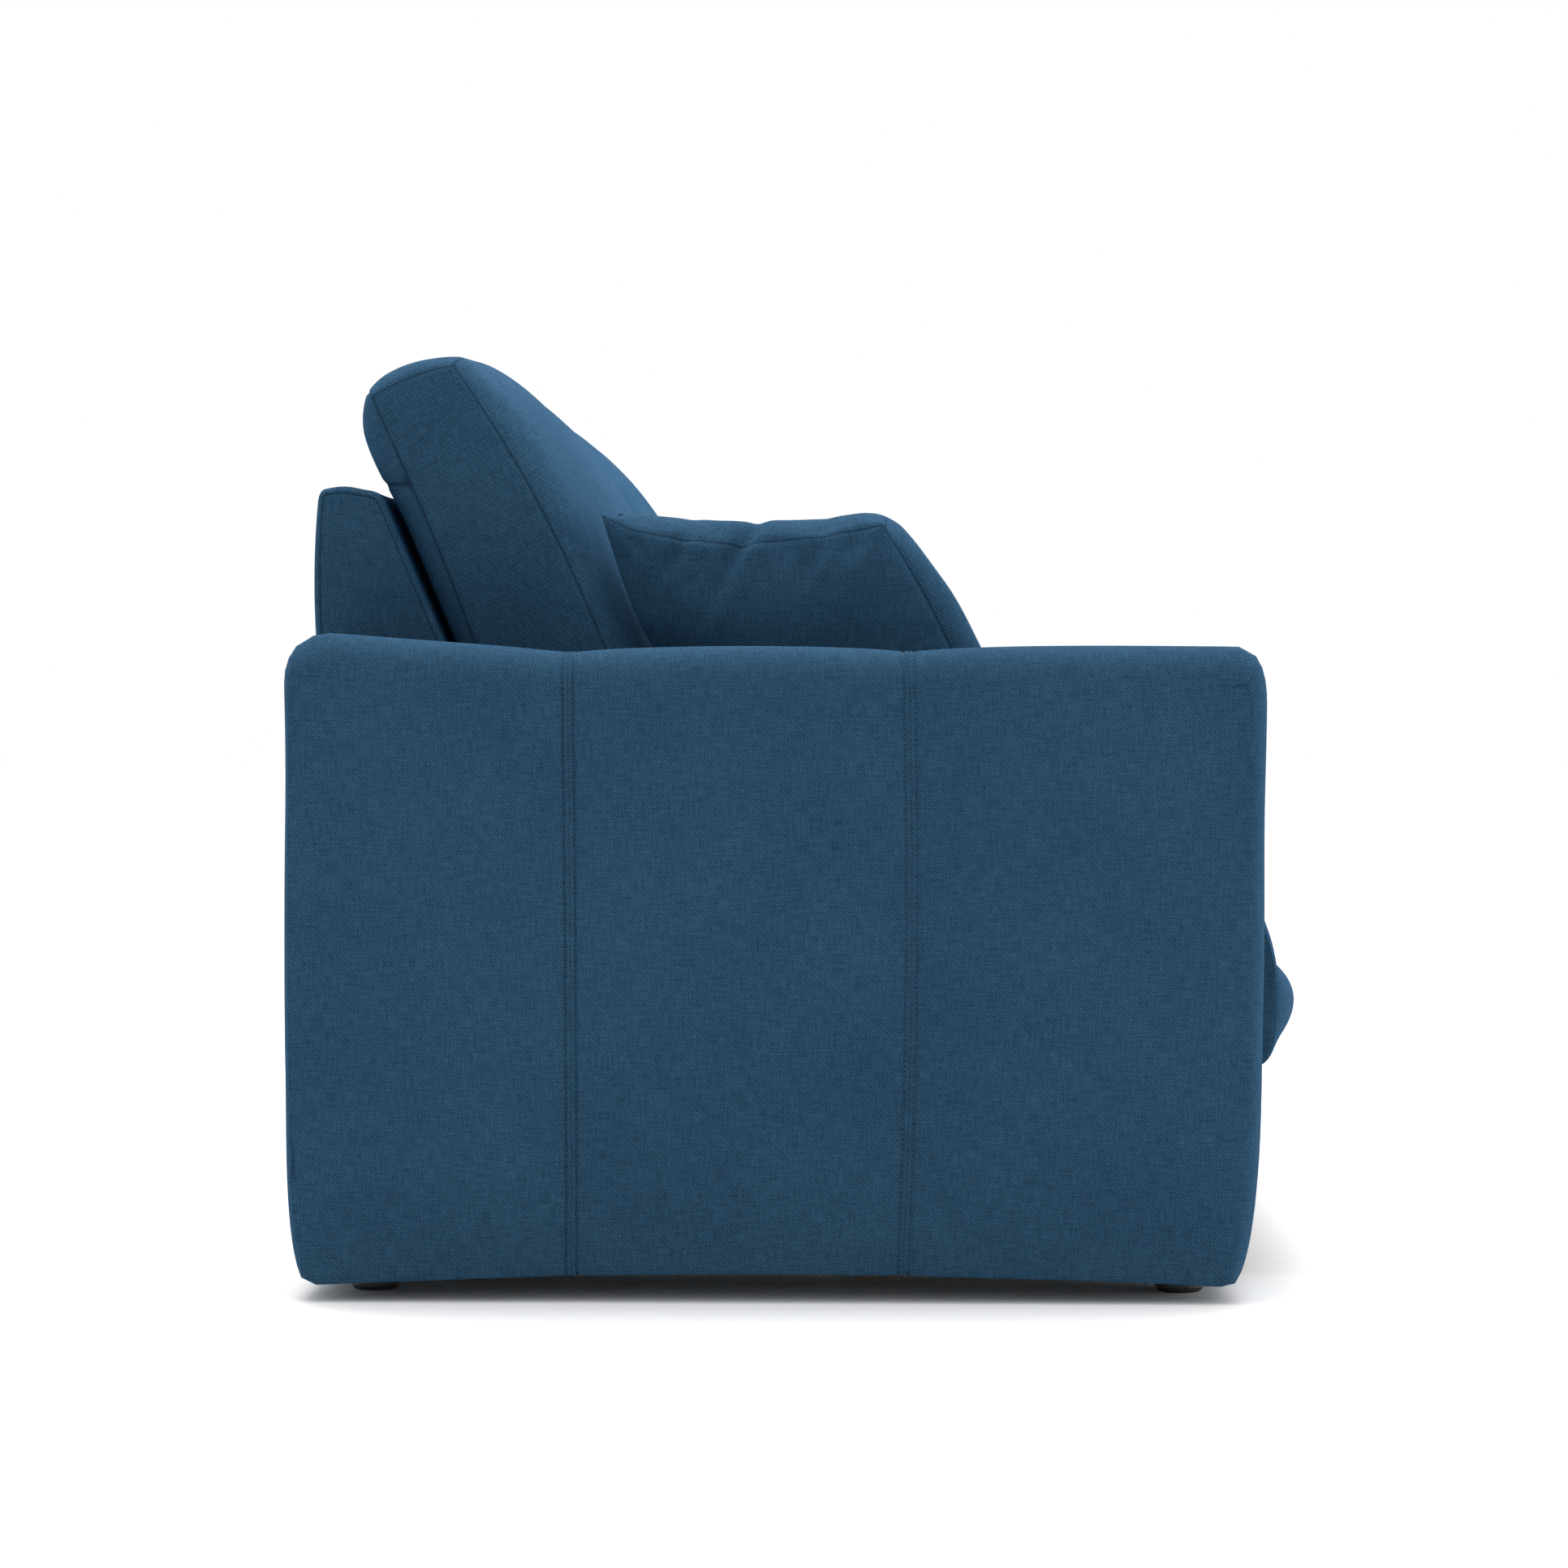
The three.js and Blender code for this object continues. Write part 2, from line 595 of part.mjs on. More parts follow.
// It stands on the seat with its rear edge along the back cushion and its top over the arm.
function armPillow(sign) {
  const low = 460;
  const high = 783;
  const rearLow = topOfPlane(44, low).x;
  const rearHigh = topOfPlane(44, high).x;
  const outline = new THREE.Shape();
  outline.moveTo(rearLow + 14, low);
  outline.lineTo(rearLow + 282, low);
  outline.quadraticCurveTo(rearLow + 327, low + 6, rearLow + 296, low + 78);
  outline.quadraticCurveTo(160, 700, 82, high - 4);
  outline.quadraticCurveTo(60, high + 4, 40, high);
  outline.quadraticCurveTo(-60, high - 14, rearHigh + 14, high);
  outline.quadraticCurveTo(rearHigh, high, rearHigh + 4, high - 12);
  outline.lineTo(rearLow, low + 14);
  outline.closePath();
  const pillow = padded(outline, [0, PILLOW_THICKNESS], 36, 4).translate(0, 0, -ARM_TOP);
  pillow.rotateX(PILLOW_TILT);
  pillow.translate(0, -(INNER - 6) + 2, ARM_TOP + 1);
  return sign < 0 ? pillow : mirrored(pillow);
}

// The same piece on the other side of the middle plane.
function mirrored(geometry) {
  const flipped = geometry.clone().scale(1, -1, 1);
  const index = flipped.index.array;
  for (let i = 0; i < index.length; i += 3) {
    [index[i + 1], index[i + 2]] = [index[i + 2], index[i + 1]];
  }
  return flipped;
}

for (const [side, sign] of SIDES) add(`arm_pillow_${side}`, armPillow(sign), fabric);

export default sofa;
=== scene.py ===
"""Looks for the futon sofa bed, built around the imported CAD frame. Metres, +X front, +Z up."""
import math

import bpy
import numpy as np
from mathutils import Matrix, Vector


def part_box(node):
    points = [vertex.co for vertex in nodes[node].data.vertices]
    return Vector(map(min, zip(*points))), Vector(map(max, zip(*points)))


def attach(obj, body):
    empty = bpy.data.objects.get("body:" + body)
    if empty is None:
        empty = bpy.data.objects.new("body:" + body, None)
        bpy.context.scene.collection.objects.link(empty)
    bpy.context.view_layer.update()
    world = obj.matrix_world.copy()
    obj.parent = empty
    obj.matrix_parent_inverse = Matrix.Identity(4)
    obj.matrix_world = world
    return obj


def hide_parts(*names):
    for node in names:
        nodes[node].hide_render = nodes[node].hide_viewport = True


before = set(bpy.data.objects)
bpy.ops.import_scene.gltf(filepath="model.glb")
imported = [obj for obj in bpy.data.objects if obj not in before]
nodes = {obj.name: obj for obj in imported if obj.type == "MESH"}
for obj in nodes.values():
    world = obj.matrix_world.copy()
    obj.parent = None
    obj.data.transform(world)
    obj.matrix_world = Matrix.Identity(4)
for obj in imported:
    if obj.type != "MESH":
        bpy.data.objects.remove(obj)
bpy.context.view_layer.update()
SIDES = (("right", -1), ("left", 1))

CAMERA_DISTANCE = 4.5  # from the near arm's outer side
CAMERA_X, CAMERA_Z = 0.0855, 0.607
AIM_X, AIM_Z = -0.0215, 0.514
LENS = 104.8  # for a sensor 36 mm wide

# --- camera, light, floor ---


def make_camera():
    low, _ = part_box("arm_upholstery_right")
    data = bpy.data.cameras.new("camera")
    data.lens = LENS
    data.sensor_width = 36
    camera = bpy.data.objects.new("camera", data)
    bpy.context.scene.collection.objects.link(camera)
    camera.location = (CAMERA_X, low[1] - CAMERA_DISTANCE, CAMERA_Z)
    aim = Vector((AIM_X, low[1], AIM_Z))
    camera.rotation_euler = (aim - camera.location).to_track_quat("-Z", "Y").to_euler()
    bpy.context.scene.camera = camera


def area_light(name, place, aim, size, power):
    data = bpy.data.lights.new(name, "AREA")
    data.shape = "RECTANGLE"
    data.size, data.size_y = size
    data.energy = power
    light = bpy.data.objects.new(name, data)
    bpy.context.scene.collection.objects.link(light)
    light.location = place
    light.rotation_euler = (Vector(aim) - light.location).to_track_quat("-Z", "Y").to_euler()


def make_studio():
    scene = bpy.context.scene
    scene.view_settings.view_transform = "Standard"
    world = bpy.data.worlds.new("studio")
    world.use_nodes = True
    world.node_tree.nodes["Background"].inputs["Color"].default_value = (1, 1, 1, 1)
    world.node_tree.nodes["Background"].inputs["Strength"].default_value = 1.0
    scene.world = world
    area_light("key", (-0.2, 0.2, 3.6), (0, 0, 0.4), size=(3.0, 3.0), power=208)
    area_light("front", (4.2, -1.4, 0.9), (0, 0, 0.4), size=(2.4, 1.6), power=38)
    data = bpy.data.lights.new("even", "SUN")
    data.energy = 0.5
    data.angle = 1.0
    sun = bpy.data.objects.new("even", data)
    scene.collection.objects.link(sun)
    sun.rotation_euler = (-0.25, 0.1, 0)
    bpy.ops.mesh.primitive_plane_add(size=60)
    floor = bpy.context.object
    floor.name = "floor"
    floor.data.materials.append(new_material("floor_paint", (0.93, 0.93, 0.93), 0.95))


# --- materials ---


def new_material(name, colour, roughness, metallic=0.0):
    material = bpy.data.materials.new(name)
    material.use_nodes = True
    shader = material.node_tree.nodes["Principled BSDF"]
    shader.inputs["Base Color"].default_value = (*colour, 1)
    shader.inputs["Roughness"].default_value = roughness
    shader.inputs["Metallic"].default_value = metallic
    return material


class Nodes:
    """A material's nodes, with short ways to add and join them."""

    def __init__(self, material):
        self.tree = material.node_tree
        self.shader = self.tree.nodes["Principled BSDF"]

    def add(self, kind, **settings):
        node = self.tree.nodes.new(kind)
        for name, value in settings.items():
            setattr(node, name, value)
        return node

    def put(self, value, socket):
        if hasattr(value, "is_output"):
            self.tree.links.new(value, socket)
        else:
            socket.default_value = value

    def math(self, operation, *values):
        node = self.add("ShaderNodeMath", operation=operation)
        for value, socket in zip(values, node.inputs):
            self.put(value, socket)
        return node.outputs[0]

    def mix(self, share, first, second):
        node = self.add("ShaderNodeMix", data_type="RGBA")
        self.put(share, node.inputs[0])
        self.put(first, node.inputs[6])
        self.put(second, node.inputs[7])
        return node.outputs[2]

    def noise(self, vector, scale, detail=2.0, roughness=0.5):
        node = self.add("ShaderNodeTexNoise")
        self.put(vector, node.inputs["Vector"])
        self.put(scale, node.inputs["Scale"])
        self.put(detail, node.inputs["Detail"])
        self.put(roughness, node.inputs["Roughness"])
        return node.outputs["Fac"]

    def stretched(self, vector, scales):
        node = self.add("ShaderNodeMapping")
        self.put(vector, node.inputs["Vector"])
        node.inputs["Scale"].default_value = scales
        return node.outputs[0]

    def ramp(self, value, low, high):
        node = self.add("ShaderNodeMapRange")
        self.put(value, node.inputs["Value"])
        self.put(low, node.inputs["From Min"])
        self.put(high, node.inputs["From Max"])
        return node.outputs["Result"]

    def bump(self, height, distance, strength=1.0):
        node = self.add("ShaderNodeBump")
        self.put(height, node.inputs["Height"])
        node.inputs["Distance"].default_value = distance
        node.inputs["Strength"].default_value = strength
        self.tree.links.new(node.outputs["Normal"], self.shader.inputs["Normal"])


YARN = 0.0033  # pitch of the hopsack weave
FABRIC_DARK = (0.0050, 0.0185, 0.036)
FABRIC_MID = (0.0190, 0.054, 0.096)
FABRIC_LIGHT = (0.0350, 0.0930, 0.160)
# painted shade: the dark colour the fabric is mixed towards along its seams, standing in for the shadow in
# the seam grooves
SEAM_PAINTED_SHADE = (0.006, 0.018, 0.034)


def fabric_material():
    """Two-tone hopsack: a diagonal lattice of yarn crossings, uneven yarns and slubs, soft sheen, and
    painted shade along the seams.
    """
    material = new_material("blue_hopsack", FABRIC_MID, 0.92)
    n = Nodes(material)
    uv = n.add("ShaderNodeUVMap", uv_map="Weave").outputs["UV"]
    solid = n.add("ShaderNodeTexCoord").outputs["Object"]
    split = n.add("ShaderNodeSeparateXYZ")
    n.put(uv, split.inputs[0])
    wander = n.math("MULTIPLY", n.math("SUBTRACT", n.noise(uv, 160.0, 1.0), 0.5), 0.9)
    turns = 2 * math.pi / YARN
    warp = n.math("ADD", n.math("MULTIPLY", split.outputs["X"], turns), wander)
    weft = n.math("SUBTRACT", n.math("MULTIPLY", split.outputs["Y"], turns), wander)
    crossing = n.math("MULTIPLY", n.math("SINE", warp), n.math("SINE", weft))
    twill = n.math("SINE", n.math("MULTIPLY", n.math("ADD", warp, weft), 0.5))
    fuzz = n.noise(uv, 1700.0, 2.0, 0.7)
    height = n.math("ADD", n.math("MULTIPLY", crossing, 0.75), n.math("MULTIPLY", twill, 0.08))
    height = n.math("ADD", height, n.math("MULTIPLY", n.math("SUBTRACT", fuzz, 0.5), 0.9))
    yarns = n.noise(n.stretched(uv, (1.0, 0.10, 1.0)), 520.0, 2.0, 0.6)
    threads = n.noise(n.stretched(uv, (0.10, 1.0, 1.0)), 520.0, 2.0, 0.6)
    streaks = n.math("SUBTRACT", n.math("ADD", yarns, threads), 1.0)
    shade = n.ramp(n.math("ADD", height, n.math("MULTIPLY", streaks, 1.15)), -0.85, 0.85)
    patches = n.ramp(n.noise(solid, 9.0, 3.0, 0.6), 0.3, 0.7)
    slubs = n.ramp(n.noise(uv, 420.0, 2.0, 0.6), 0.62, 0.8)
    colour = n.mix(shade, (*FABRIC_DARK, 1), (*FABRIC_LIGHT, 1))
    tone = n.mix(patches, (0.90, 0.92, 0.94, 1), (1.08, 1.06, 1.04, 1))
    toned = n.add("ShaderNodeMix", data_type="RGBA", blend_type="MULTIPLY")
    toned.inputs[0].default_value = 1.0
    n.put(colour, toned.inputs[6])
    n.put(tone, toned.inputs[7])
    flecked = n.mix(n.math("MULTIPLY", slubs, 0.35), toned.outputs[2], (*FABRIC_LIGHT, 1))
    # Painted shade: where the seam attribute is high, the base colour is mixed towards the seams' dark
    # colour, for the shadow in their grooves.
    mark = n.add("ShaderNodeAttribute", attribute_name="seam").outputs["Fac"]
    line = n.math("MULTIPLY", n.ramp(mark, 0.72, 1.0), 0.85)
    n.put(n.mix(line, flecked, (*SEAM_PAINTED_SHADE, 1)), n.shader.inputs["Base Color"])
    n.put(n.math("SUBTRACT", 1.0, n.math("MULTIPLY", shade, 0.18)), n.shader.inputs["Roughness"])
    n.shader.inputs["Specular IOR Level"].default_value = 0.04
    n.shader.inputs["Sheen Weight"].default_value = 0.12
    n.shader.inputs["Sheen Roughness"].default_value = 0.4
    n.shader.inputs["Sheen Tint"].default_value = (0.06, 0.42, 1.0, 1)
    n.bump(height, 0.0006, 0.8)
    return material


def thread_material():
    material = new_material("seam_thread", (0.020, 0.058, 0.102), 0.7)
    n = Nodes(material)
    solid = n.add("ShaderNodeTexCoord").outputs["Object"]
    twist = n.noise(solid, 2600.0, 2.0)
    n.put(n.mix(twist, (0.014, 0.042, 0.076, 1), (0.034, 0.092, 0.158, 1)), n.shader.inputs["Base Color"])
    n.bump(twist, 0.0002, 0.6)
    return material


def wood_material(name, dark, light, along, roughness):
    """Grain stretched along one axis: 0, 1 or 2."""
    material = new_material(name, light, roughness)
    n = Nodes(material)
    solid = n.add("ShaderNodeTexCoord").outputs["Object"]
    scale = [14.0, 14.0, 14.0]
    scale[along] = 0.9
    stretched = n.stretched(solid, scale)
    rings = n.noise(stretched, 3.0, 5.0, 0.6)
    pores = n.noise(stretched, 34.0, 3.0, 0.7)
    grain = n.math("ADD", n.math("MULTIPLY", rings, 0.7), n.math("MULTIPLY", pores, 0.3))
    colour = n.mix(n.ramp(grain, 0.36, 0.64), (*dark, 1), (*light, 1))
    n.put(colour, n.shader.inputs["Base Color"])
    n.put(n.math("ADD", roughness - 0.1, n.math("MULTIPLY", pores, 0.25)), n.shader.inputs["Roughness"])
    n.bump(grain, 0.0005, 0.5)
    return material


def metal_material(name, colour, roughness, metallic, relief):
    """Uneven gloss with fine handling marks, and a faint orange peel where it is painted."""
    material = new_material(name, colour, roughness, metallic)
    n = Nodes(material)
    solid = n.add("ShaderNodeTexCoord").outputs["Object"]
    marks = n.noise(n.stretched(solid, (3.0, 60.0, 60.0)), 12.0, 4.0, 0.7)
    cloud = n.noise(solid, 22.0, 3.0)
    worn = tuple(min(1.0, c * 1.35 + 0.02) for c in colour)
    n.put(n.mix(n.ramp(marks, 0.45, 0.8), (*colour, 1), (*worn, 1)), n.shader.inputs["Base Color"])
    uneven = n.math("MULTIPLY", n.math("SUBTRACT", cloud, 0.5), 0.3)
    n.put(n.math("ADD", roughness, uneven), n.shader.inputs["Roughness"])
    n.bump(n.math("ADD", marks, cloud), 0.0003, relief)
    return material


def moulded_material(name, colour, roughness, grain):
    material = new_material(name, colour, roughness)
    n = Nodes(material)
    solid = n.add("ShaderNodeTexCoord").outputs["Object"]
    fine = n.noise(solid, grain, 3.0, 0.6)
    light = tuple(c * 1.6 + 0.01 for c in colour)
    n.put(n.mix(fine, (*colour, 1), (*light, 1)), n.shader.inputs["Base Color"])
    n.put(n.math("ADD", roughness - 0.1, n.math("MULTIPLY", fine, 0.2)), n.shader.inputs["Roughness"])
    n.bump(fine, 0.0003, 0.6)
    return material


# --- padded pieces: two side panels and a band that joins them ---


def unit(v):
    return v / max(1e-12, np.linalg.norm(v))


def curve(start, *pieces, steps=24):
    """Points of a closed outline. A piece is an end point, or a control point and an end point."""
    points = [np.array(start, float)]
    for piece in (*pieces, start):
        a = points[-1]
        bent = isinstance(piece[0], tuple)
        end = np.array(piece[1] if bent else piece, float)
        control = np.array(piece[0], float) if bent else (a + end) / 2
        t = np.linspace(0, 1, steps + 1)[1:, None]
        points += list((1 - t) ** 2 * a + 2 * t * (1 - t) * control + t**2 * end)
    return np.array(points)


def four_sides(line, corners):
    """Cuts a closed outline at its points nearest to four corners, lower rear first, anticlockwise."""
    line = line[:-1]
    cuts = [int(np.argmin(np.linalg.norm(line - np.array(c), axis=1))) for c in corners]
    line = np.roll(line, -cuts[0], axis=0)
    cuts = [(c - cuts[0]) % len(line) for c in cuts] + [len(line)]
    closed = np.vstack([line, line[:1]])
    return [closed[a : b + 1] for a, b in zip(cuts, cuts[1:])]


def sample(line, shares):
    """Points at shares of a polyline's length."""
    steps = np.linalg.norm(np.diff(line, axis=0), axis=1)
    along = np.concatenate([[0], np.cumsum(steps)])
    return np.stack([np.interp(shares, along / along[-1], line[:, k]) for k in range(2)], axis=1)


def boundary(sides, across, up):
    """The outline's points in order: bottom, front, top backwards, rear downwards."""
    shares = (across, up, 1 - across[::-1], 1 - up[::-1])
    return np.vstack([sample(side, share)[:-1] for side, share in zip(sides, shares)])


def loop_of(outline, corners, across, up):
    """A curved outline's points, with the shares counted between its four corners."""
    return boundary(four_sides(curve(*outline), corners), across, up)


def outward(loop):
    """Unit vectors that point out of a closed loop."""
    turn = np.roll(loop, -1, axis=0) - np.roll(loop, 1, axis=0)
    out = np.stack([turn[:, 1], -turn[:, 0]], axis=1)
    return out / np.linalg.norm(out, axis=1)[:, None]


def shrunk(loop, front, rear, top, bottom):
    """The loop drawn in by its own amount on each of the four sides."""
    out = outward(loop)
    depth_a = np.where(out[:, 0] > 0, front, rear)
    depth_b = np.where(out[:, 1] > 0, top, bottom)
    return loop - out * np.stack([depth_a, depth_b], axis=1)


COONS_REACH = 0.035


def patch(loop, n, m):
    """A grid that fills a four-sided loop: by Coons' rule near its ends, with straight columns between."""
    bottom = loop[:n]
    right = loop[n - 1 : n + m - 1]
    top = loop[n + m - 2 : 2 * n + m - 2][::-1]
    left = np.vstack([loop[2 * n + m - 3 :], loop[:1]])[::-1]
    s = (shares_of(bottom) + shares_of(top)) / 2
    t = (shares_of(left) + shares_of(right)) / 2
    s, t = s[None, :, None], t[:, None, None]
    ruled = (1 - t) * bottom[None] + t * top[None] + (1 - s) * left[:, None] + s * right[:, None]
    low = (1 - s) * bottom[0] + s * bottom[-1]
    high = (1 - s) * top[0] + s * top[-1]
    coons = ruled - (1 - t) * low - t * high
    straight = (1 - t) * bottom[None] + t * top[None]
    from_end = np.minimum(s, 1 - s) * np.linalg.norm(bottom[-1] - bottom[0])
    ends = gauss(from_end, COONS_REACH)
    return coons * ends + straight * (1 - ends)


def shares_of(line):
    steps = np.linalg.norm(np.diff(line, axis=0), axis=1)
    along = np.concatenate([[0], np.cumsum(steps)])
    return along / along[-1]


class Soft:
    """A padded piece in its own axes: a and b across a side panel, c from one panel to the other."""

    def __init__(self, crown, seam, far_seam, across, m, rings, lip=1.0, unrolled=False):
        """rings: c, and q of the quick and the slow rise, both 1 at a seam and 0 on the band's crown.
        lip is the quick rise's share. unrolled lays the band's weave along its own length."""
        n = len(across)
        count = len(crown)
        middle = (rings[0][0] + rings[-1][0]) / 2
        share = np.broadcast_to(lip, count)[:, None]
        loops = []
        for c, quick, slow in rings:
            base = seam if c < middle else far_seam
            loops.append(crown + (share * quick + (1 - share) * slow) * (base - crown))
        depths = [ring[0] for ring in rings]
        points = []
        for edge, c in ((loops[0], depths[0]), (loops[-1], depths[-1])):
            grid = patch(edge, n, m).reshape(-1, 2)
            points.append(np.column_stack([grid, np.full(n * m, c)]))
        for edge, c in zip(loops[1:-1], depths[1:-1]):
            points.append(np.column_stack([edge, np.full(count, c)]))
        around = np.concatenate([across[:-1], np.ones(m - 1), across[:0:-1], np.zeros(m - 1)])
        self.column = np.concatenate([np.tile(across, 2 * m), np.tile(around, len(rings) - 2)])
        self.local = np.vstack(points)
        self.panel = np.arange(len(self.local)) < 2 * n * m
        self.near = np.arange(len(self.local)) < n * m
        bottom = list(range(n - 1))
        right = [n - 1 + j * n for j in range(m - 1)]
        top = [n * m - 1 - i for i in range(n - 1)]
        left = [n * (m - 1 - j) for j in range(m - 1)]
        edge = np.array(bottom + right + top + left)
        band = [2 * n * m + k * count + np.arange(count) for k in range(len(rings) - 2)]
        self.loops = [edge, *band, edge + n * m]
        self.grids = [np.arange(n * m).reshape(m, n), np.arange(n * m).reshape(m, n) + n * m]
        down = [np.zeros(count)]
        for before, after, c0, c1 in zip(loops, loops[1:], depths, depths[1:]):
            spread = np.linalg.norm(after - before, axis=1)
            down.append(down[-1] + np.hypot(c1 - c0, spread))
        self.reach = np.zeros(len(self.local))
        for grid, edge_points in ((self.grids[0], loops[0]), (self.grids[1], loops[-1])):
            flat = self.local[grid.ravel(), :2]
            gap = np.linalg.norm(flat[:, None] - edge_points[None], axis=2)
            self.reach[grid.ravel()] = gap.min(axis=1)
        for k, loop in enumerate(self.loops[1:-1]):
            self.reach[loop] = np.minimum(down[k + 1], down[-1] - down[k + 1])
        self.faces, self.uvs = [], []
        for grid, flip in ((self.grids[0], False), (self.grids[1], True)):
            self._add_panel(grid, flip)
        side = np.repeat([0, 1, 2, 3], [n - 1, m - 1, n - 1, m - 1])
        self._add_band(side, loops[0], down, unrolled)
        self.seam = np.zeros(len(self.local))
        self.seam[self.loops[0]] = 1
        self.seam[self.loops[-1]] = 1
        self.crown = crown

    def _add_panel(self, grid, flip):
        rows, columns = grid.shape
        for j in range(rows - 1):
            for i in range(columns - 1):
                quad = [grid[j, i], grid[j, i + 1], grid[j + 1, i + 1], grid[j + 1, i]]
                if flip:
                    quad.reverse()
                self.faces.append(quad)
                self.uvs.append([(self.local[k, 0], self.local[k, 1]) for k in quad])

    def _add_band(self, side, edge, down, unrolled):
        """The weave runs on from the near panel over the band, with a mitre at each corner."""
        away = np.array([(0, -1), (1, 0), (0, 1), (-1, 0)])
        along = np.array([(1, 0), (0, 1), (-1, 0), (0, -1)])
        count = len(edge)
        steps = np.linalg.norm(np.roll(edge, -1, axis=0) - edge, axis=1)
        arc = np.concatenate([[0], np.cumsum(steps)])
        first = [int(np.argmax(side == number)) for number in range(4)]

        def laid(p, number):
            if not unrolled:
                return edge[p % count]
            return edge[first[number]] + along[number] * (arc[p] - arc[first[number]])

        for k in range(len(self.loops) - 1):
            a, b = self.loops[k], self.loops[k + 1]
            for i in range(count):
                j = (i + 1) % count
                self.faces.append([a[i], b[i], b[j], a[j]])
                number = side[i]
                corners = ((i, k), (i, k + 1), (i + 1, k + 1), (i + 1, k))
                spots = [laid(p, number) + away[number] * down[q][p % count] for p, q in corners]
                self.uvs.append([tuple(spot) for spot in spots])

    def add_cross_seam(self, near_point):
        """A seam over the band, from one side panel to the other."""
        index = int(np.argmin(np.linalg.norm(self.crown - np.array(near_point), axis=1)))
        self.seam[[int(loop[index]) for loop in self.loops]] = 1

    def normals(self):
        points = self.local * [1, 1, -1]
        quads = np.array(self.faces)
        one = points[quads[:, 2]] - points[quads[:, 0]]
        other = points[quads[:, 3]] - points[quads[:, 1]]
        cross = np.cross(one, other)
        total = np.zeros_like(points)
        for k in range(4):
            np.add.at(total, quads[:, k], cross)
        return total / np.maximum(1e-12, np.linalg.norm(total, axis=1))[:, None] * [1, 1, -1]

    def push(self, amount):
        """Moves each point along its normal by its own amount."""
        self.local = self.local + self.normals() * np.asarray(amount)[:, None]

    def swell(self, near, far, spread):
        """Domes the side panels outwards."""
        rise = 1 - np.exp(-self.reach / spread)
        self.local[:, 2] -= np.where(self.near, near * rise, 0)
        self.local[:, 2] += np.where(self.panel & ~self.near, far * rise, 0)

    def mesh(self, name, place, sign):
        """place turns an array of local points into world points of the right-hand piece."""
        points = place(self.local)
        faces = self.faces
        uvs = self.uvs
        if sign > 0:
            points = points * [1, -1, 1]
            faces = [f[::-1] for f in faces]
            uvs = [u[::-1] for u in uvs]
        mesh = bpy.data.meshes.new(name)
        mesh.from_pydata(points.tolist(), [], [[int(i) for i in f] for f in faces])
        layer = mesh.uv_layers.new(name="Weave")
        layer.data.foreach_set("uv", np.array(uvs, float).ravel())
        mesh.polygons.foreach_set("use_smooth", [True] * len(faces))
        # the seam marks sink and crease the seams in refine, and the fabric material reads them to paint
        # shade along the seams
        mark = mesh.attributes.new("seam", "FLOAT", "POINT")
        mark.data.foreach_set("value", self.seam.astype(np.float32))
        mesh.update()
        obj = bpy.data.objects.new(name, mesh)
        bpy.context.scene.collection.objects.link(obj)
        return obj


def quarter_rings(depth, width, steps, between):
    """Rings that roll round an edge of this depth at both ends of a band of this width."""
    angles = np.linspace(0, math.pi / 2, steps + 1)
    start = [(depth * (1 - math.cos(t)), 1 - math.sin(t), 0.0) for t in angles]
    pieces = max(1, round((width - 2 * depth) / between))
    middle = [(depth + (width - 2 * depth) * k / pieces, 0.0, 0.0) for k in range(1, pieces)]
    return start + middle + [(width - c, q, 0.0) for c, q, _ in reversed(start)]


LIP_RINGS = np.array([0.0, 0.007, 0.016])
LIP_END = 0.028


def crowned_rings(start, width, radius, between, lip_width=0.032):
    """Rings of a cushion's band: a round lip beside each seam, then a slow rise to the crown."""
    pieces = max(1, round((width - 2 * LIP_END) / between))
    middle = np.linspace(LIP_END, width - LIP_END, pieces + 1)
    both = np.concatenate([LIP_RINGS, middle, width - LIP_RINGS[::-1]])
    edge = np.minimum(both, width - both)
    quick = np.clip(1 - edge / lip_width, 0, 1) ** 2
    slow = np.clip(1 - edge / radius, 0, 1) ** 2
    return list(zip(start + both, quick, slow))


def lip_shares(crown, front, others):
    """The quick rise's share: one figure on the front of the band, another on its other sides."""
    return others + (front - others) * np.clip(outward(crown)[:, 0], 0, 1)


WAVES = 7


def lumps(points, size, seed):
    """Smooth seeded unevenness, about -1 to 1: a few sine waves in random directions."""
    rng = np.random.default_rng(seed)
    total = np.zeros(len(points))
    for _ in range(WAVES):
        direction = unit(rng.normal(size=3))
        wave = 2 * math.pi / (size * rng.uniform(0.7, 1.5))
        total += np.sin(points @ direction * wave + rng.uniform(0, 6.28))
    return total / WAVES * 1.6


def gauss(x, width):
    return np.exp(-((x / width) ** 2))


CLOSE_STEPS = np.array([0.0075, 0.017])


def even(length, step, tight=True):
    """Shares of a length, with two closer steps beside each end."""
    shares = np.linspace(0, 1, max(2, int(round(length / step))) + 1)
    if not tight:
        return shares
    near = CLOSE_STEPS / length
    inner = shares[(shares > near[1] * 1.3) & (shares < 1 - near[1] * 1.3)]
    return np.concatenate([[0], near, inner, 1 - near[::-1], [1]])


def get_points(obj):
    flat = np.empty(len(obj.data.vertices) * 3)
    obj.data.vertices.foreach_get("co", flat)
    return flat.reshape(-1, 3)


def set_points(obj, points):
    obj.data.vertices.foreach_set("co", points.ravel())
    obj.data.update()


def get_normals(obj):
    flat = np.empty(len(obj.data.vertices) * 3)
    obj.data.vertices.foreach_get("normal", flat)
    return flat.reshape(-1, 3)


def edge_ends(mesh):
    ends = np.empty(len(mesh.edges) * 2, np.int32)
    mesh.edges.foreach_get("vertices", ends)
    return ends.reshape(-1, 2)


def seam_marks(mesh):
    marks = np.empty(len(mesh.vertices), np.float32)
    mesh.attributes["seam"].data.foreach_get("value", marks)
    return marks


CLOTH_PRESSURE = 4.0
CLOTH_FRAMES = 20
SMOOTH_ROUNDS = 3
SMOOTH_SHARE = 0.6


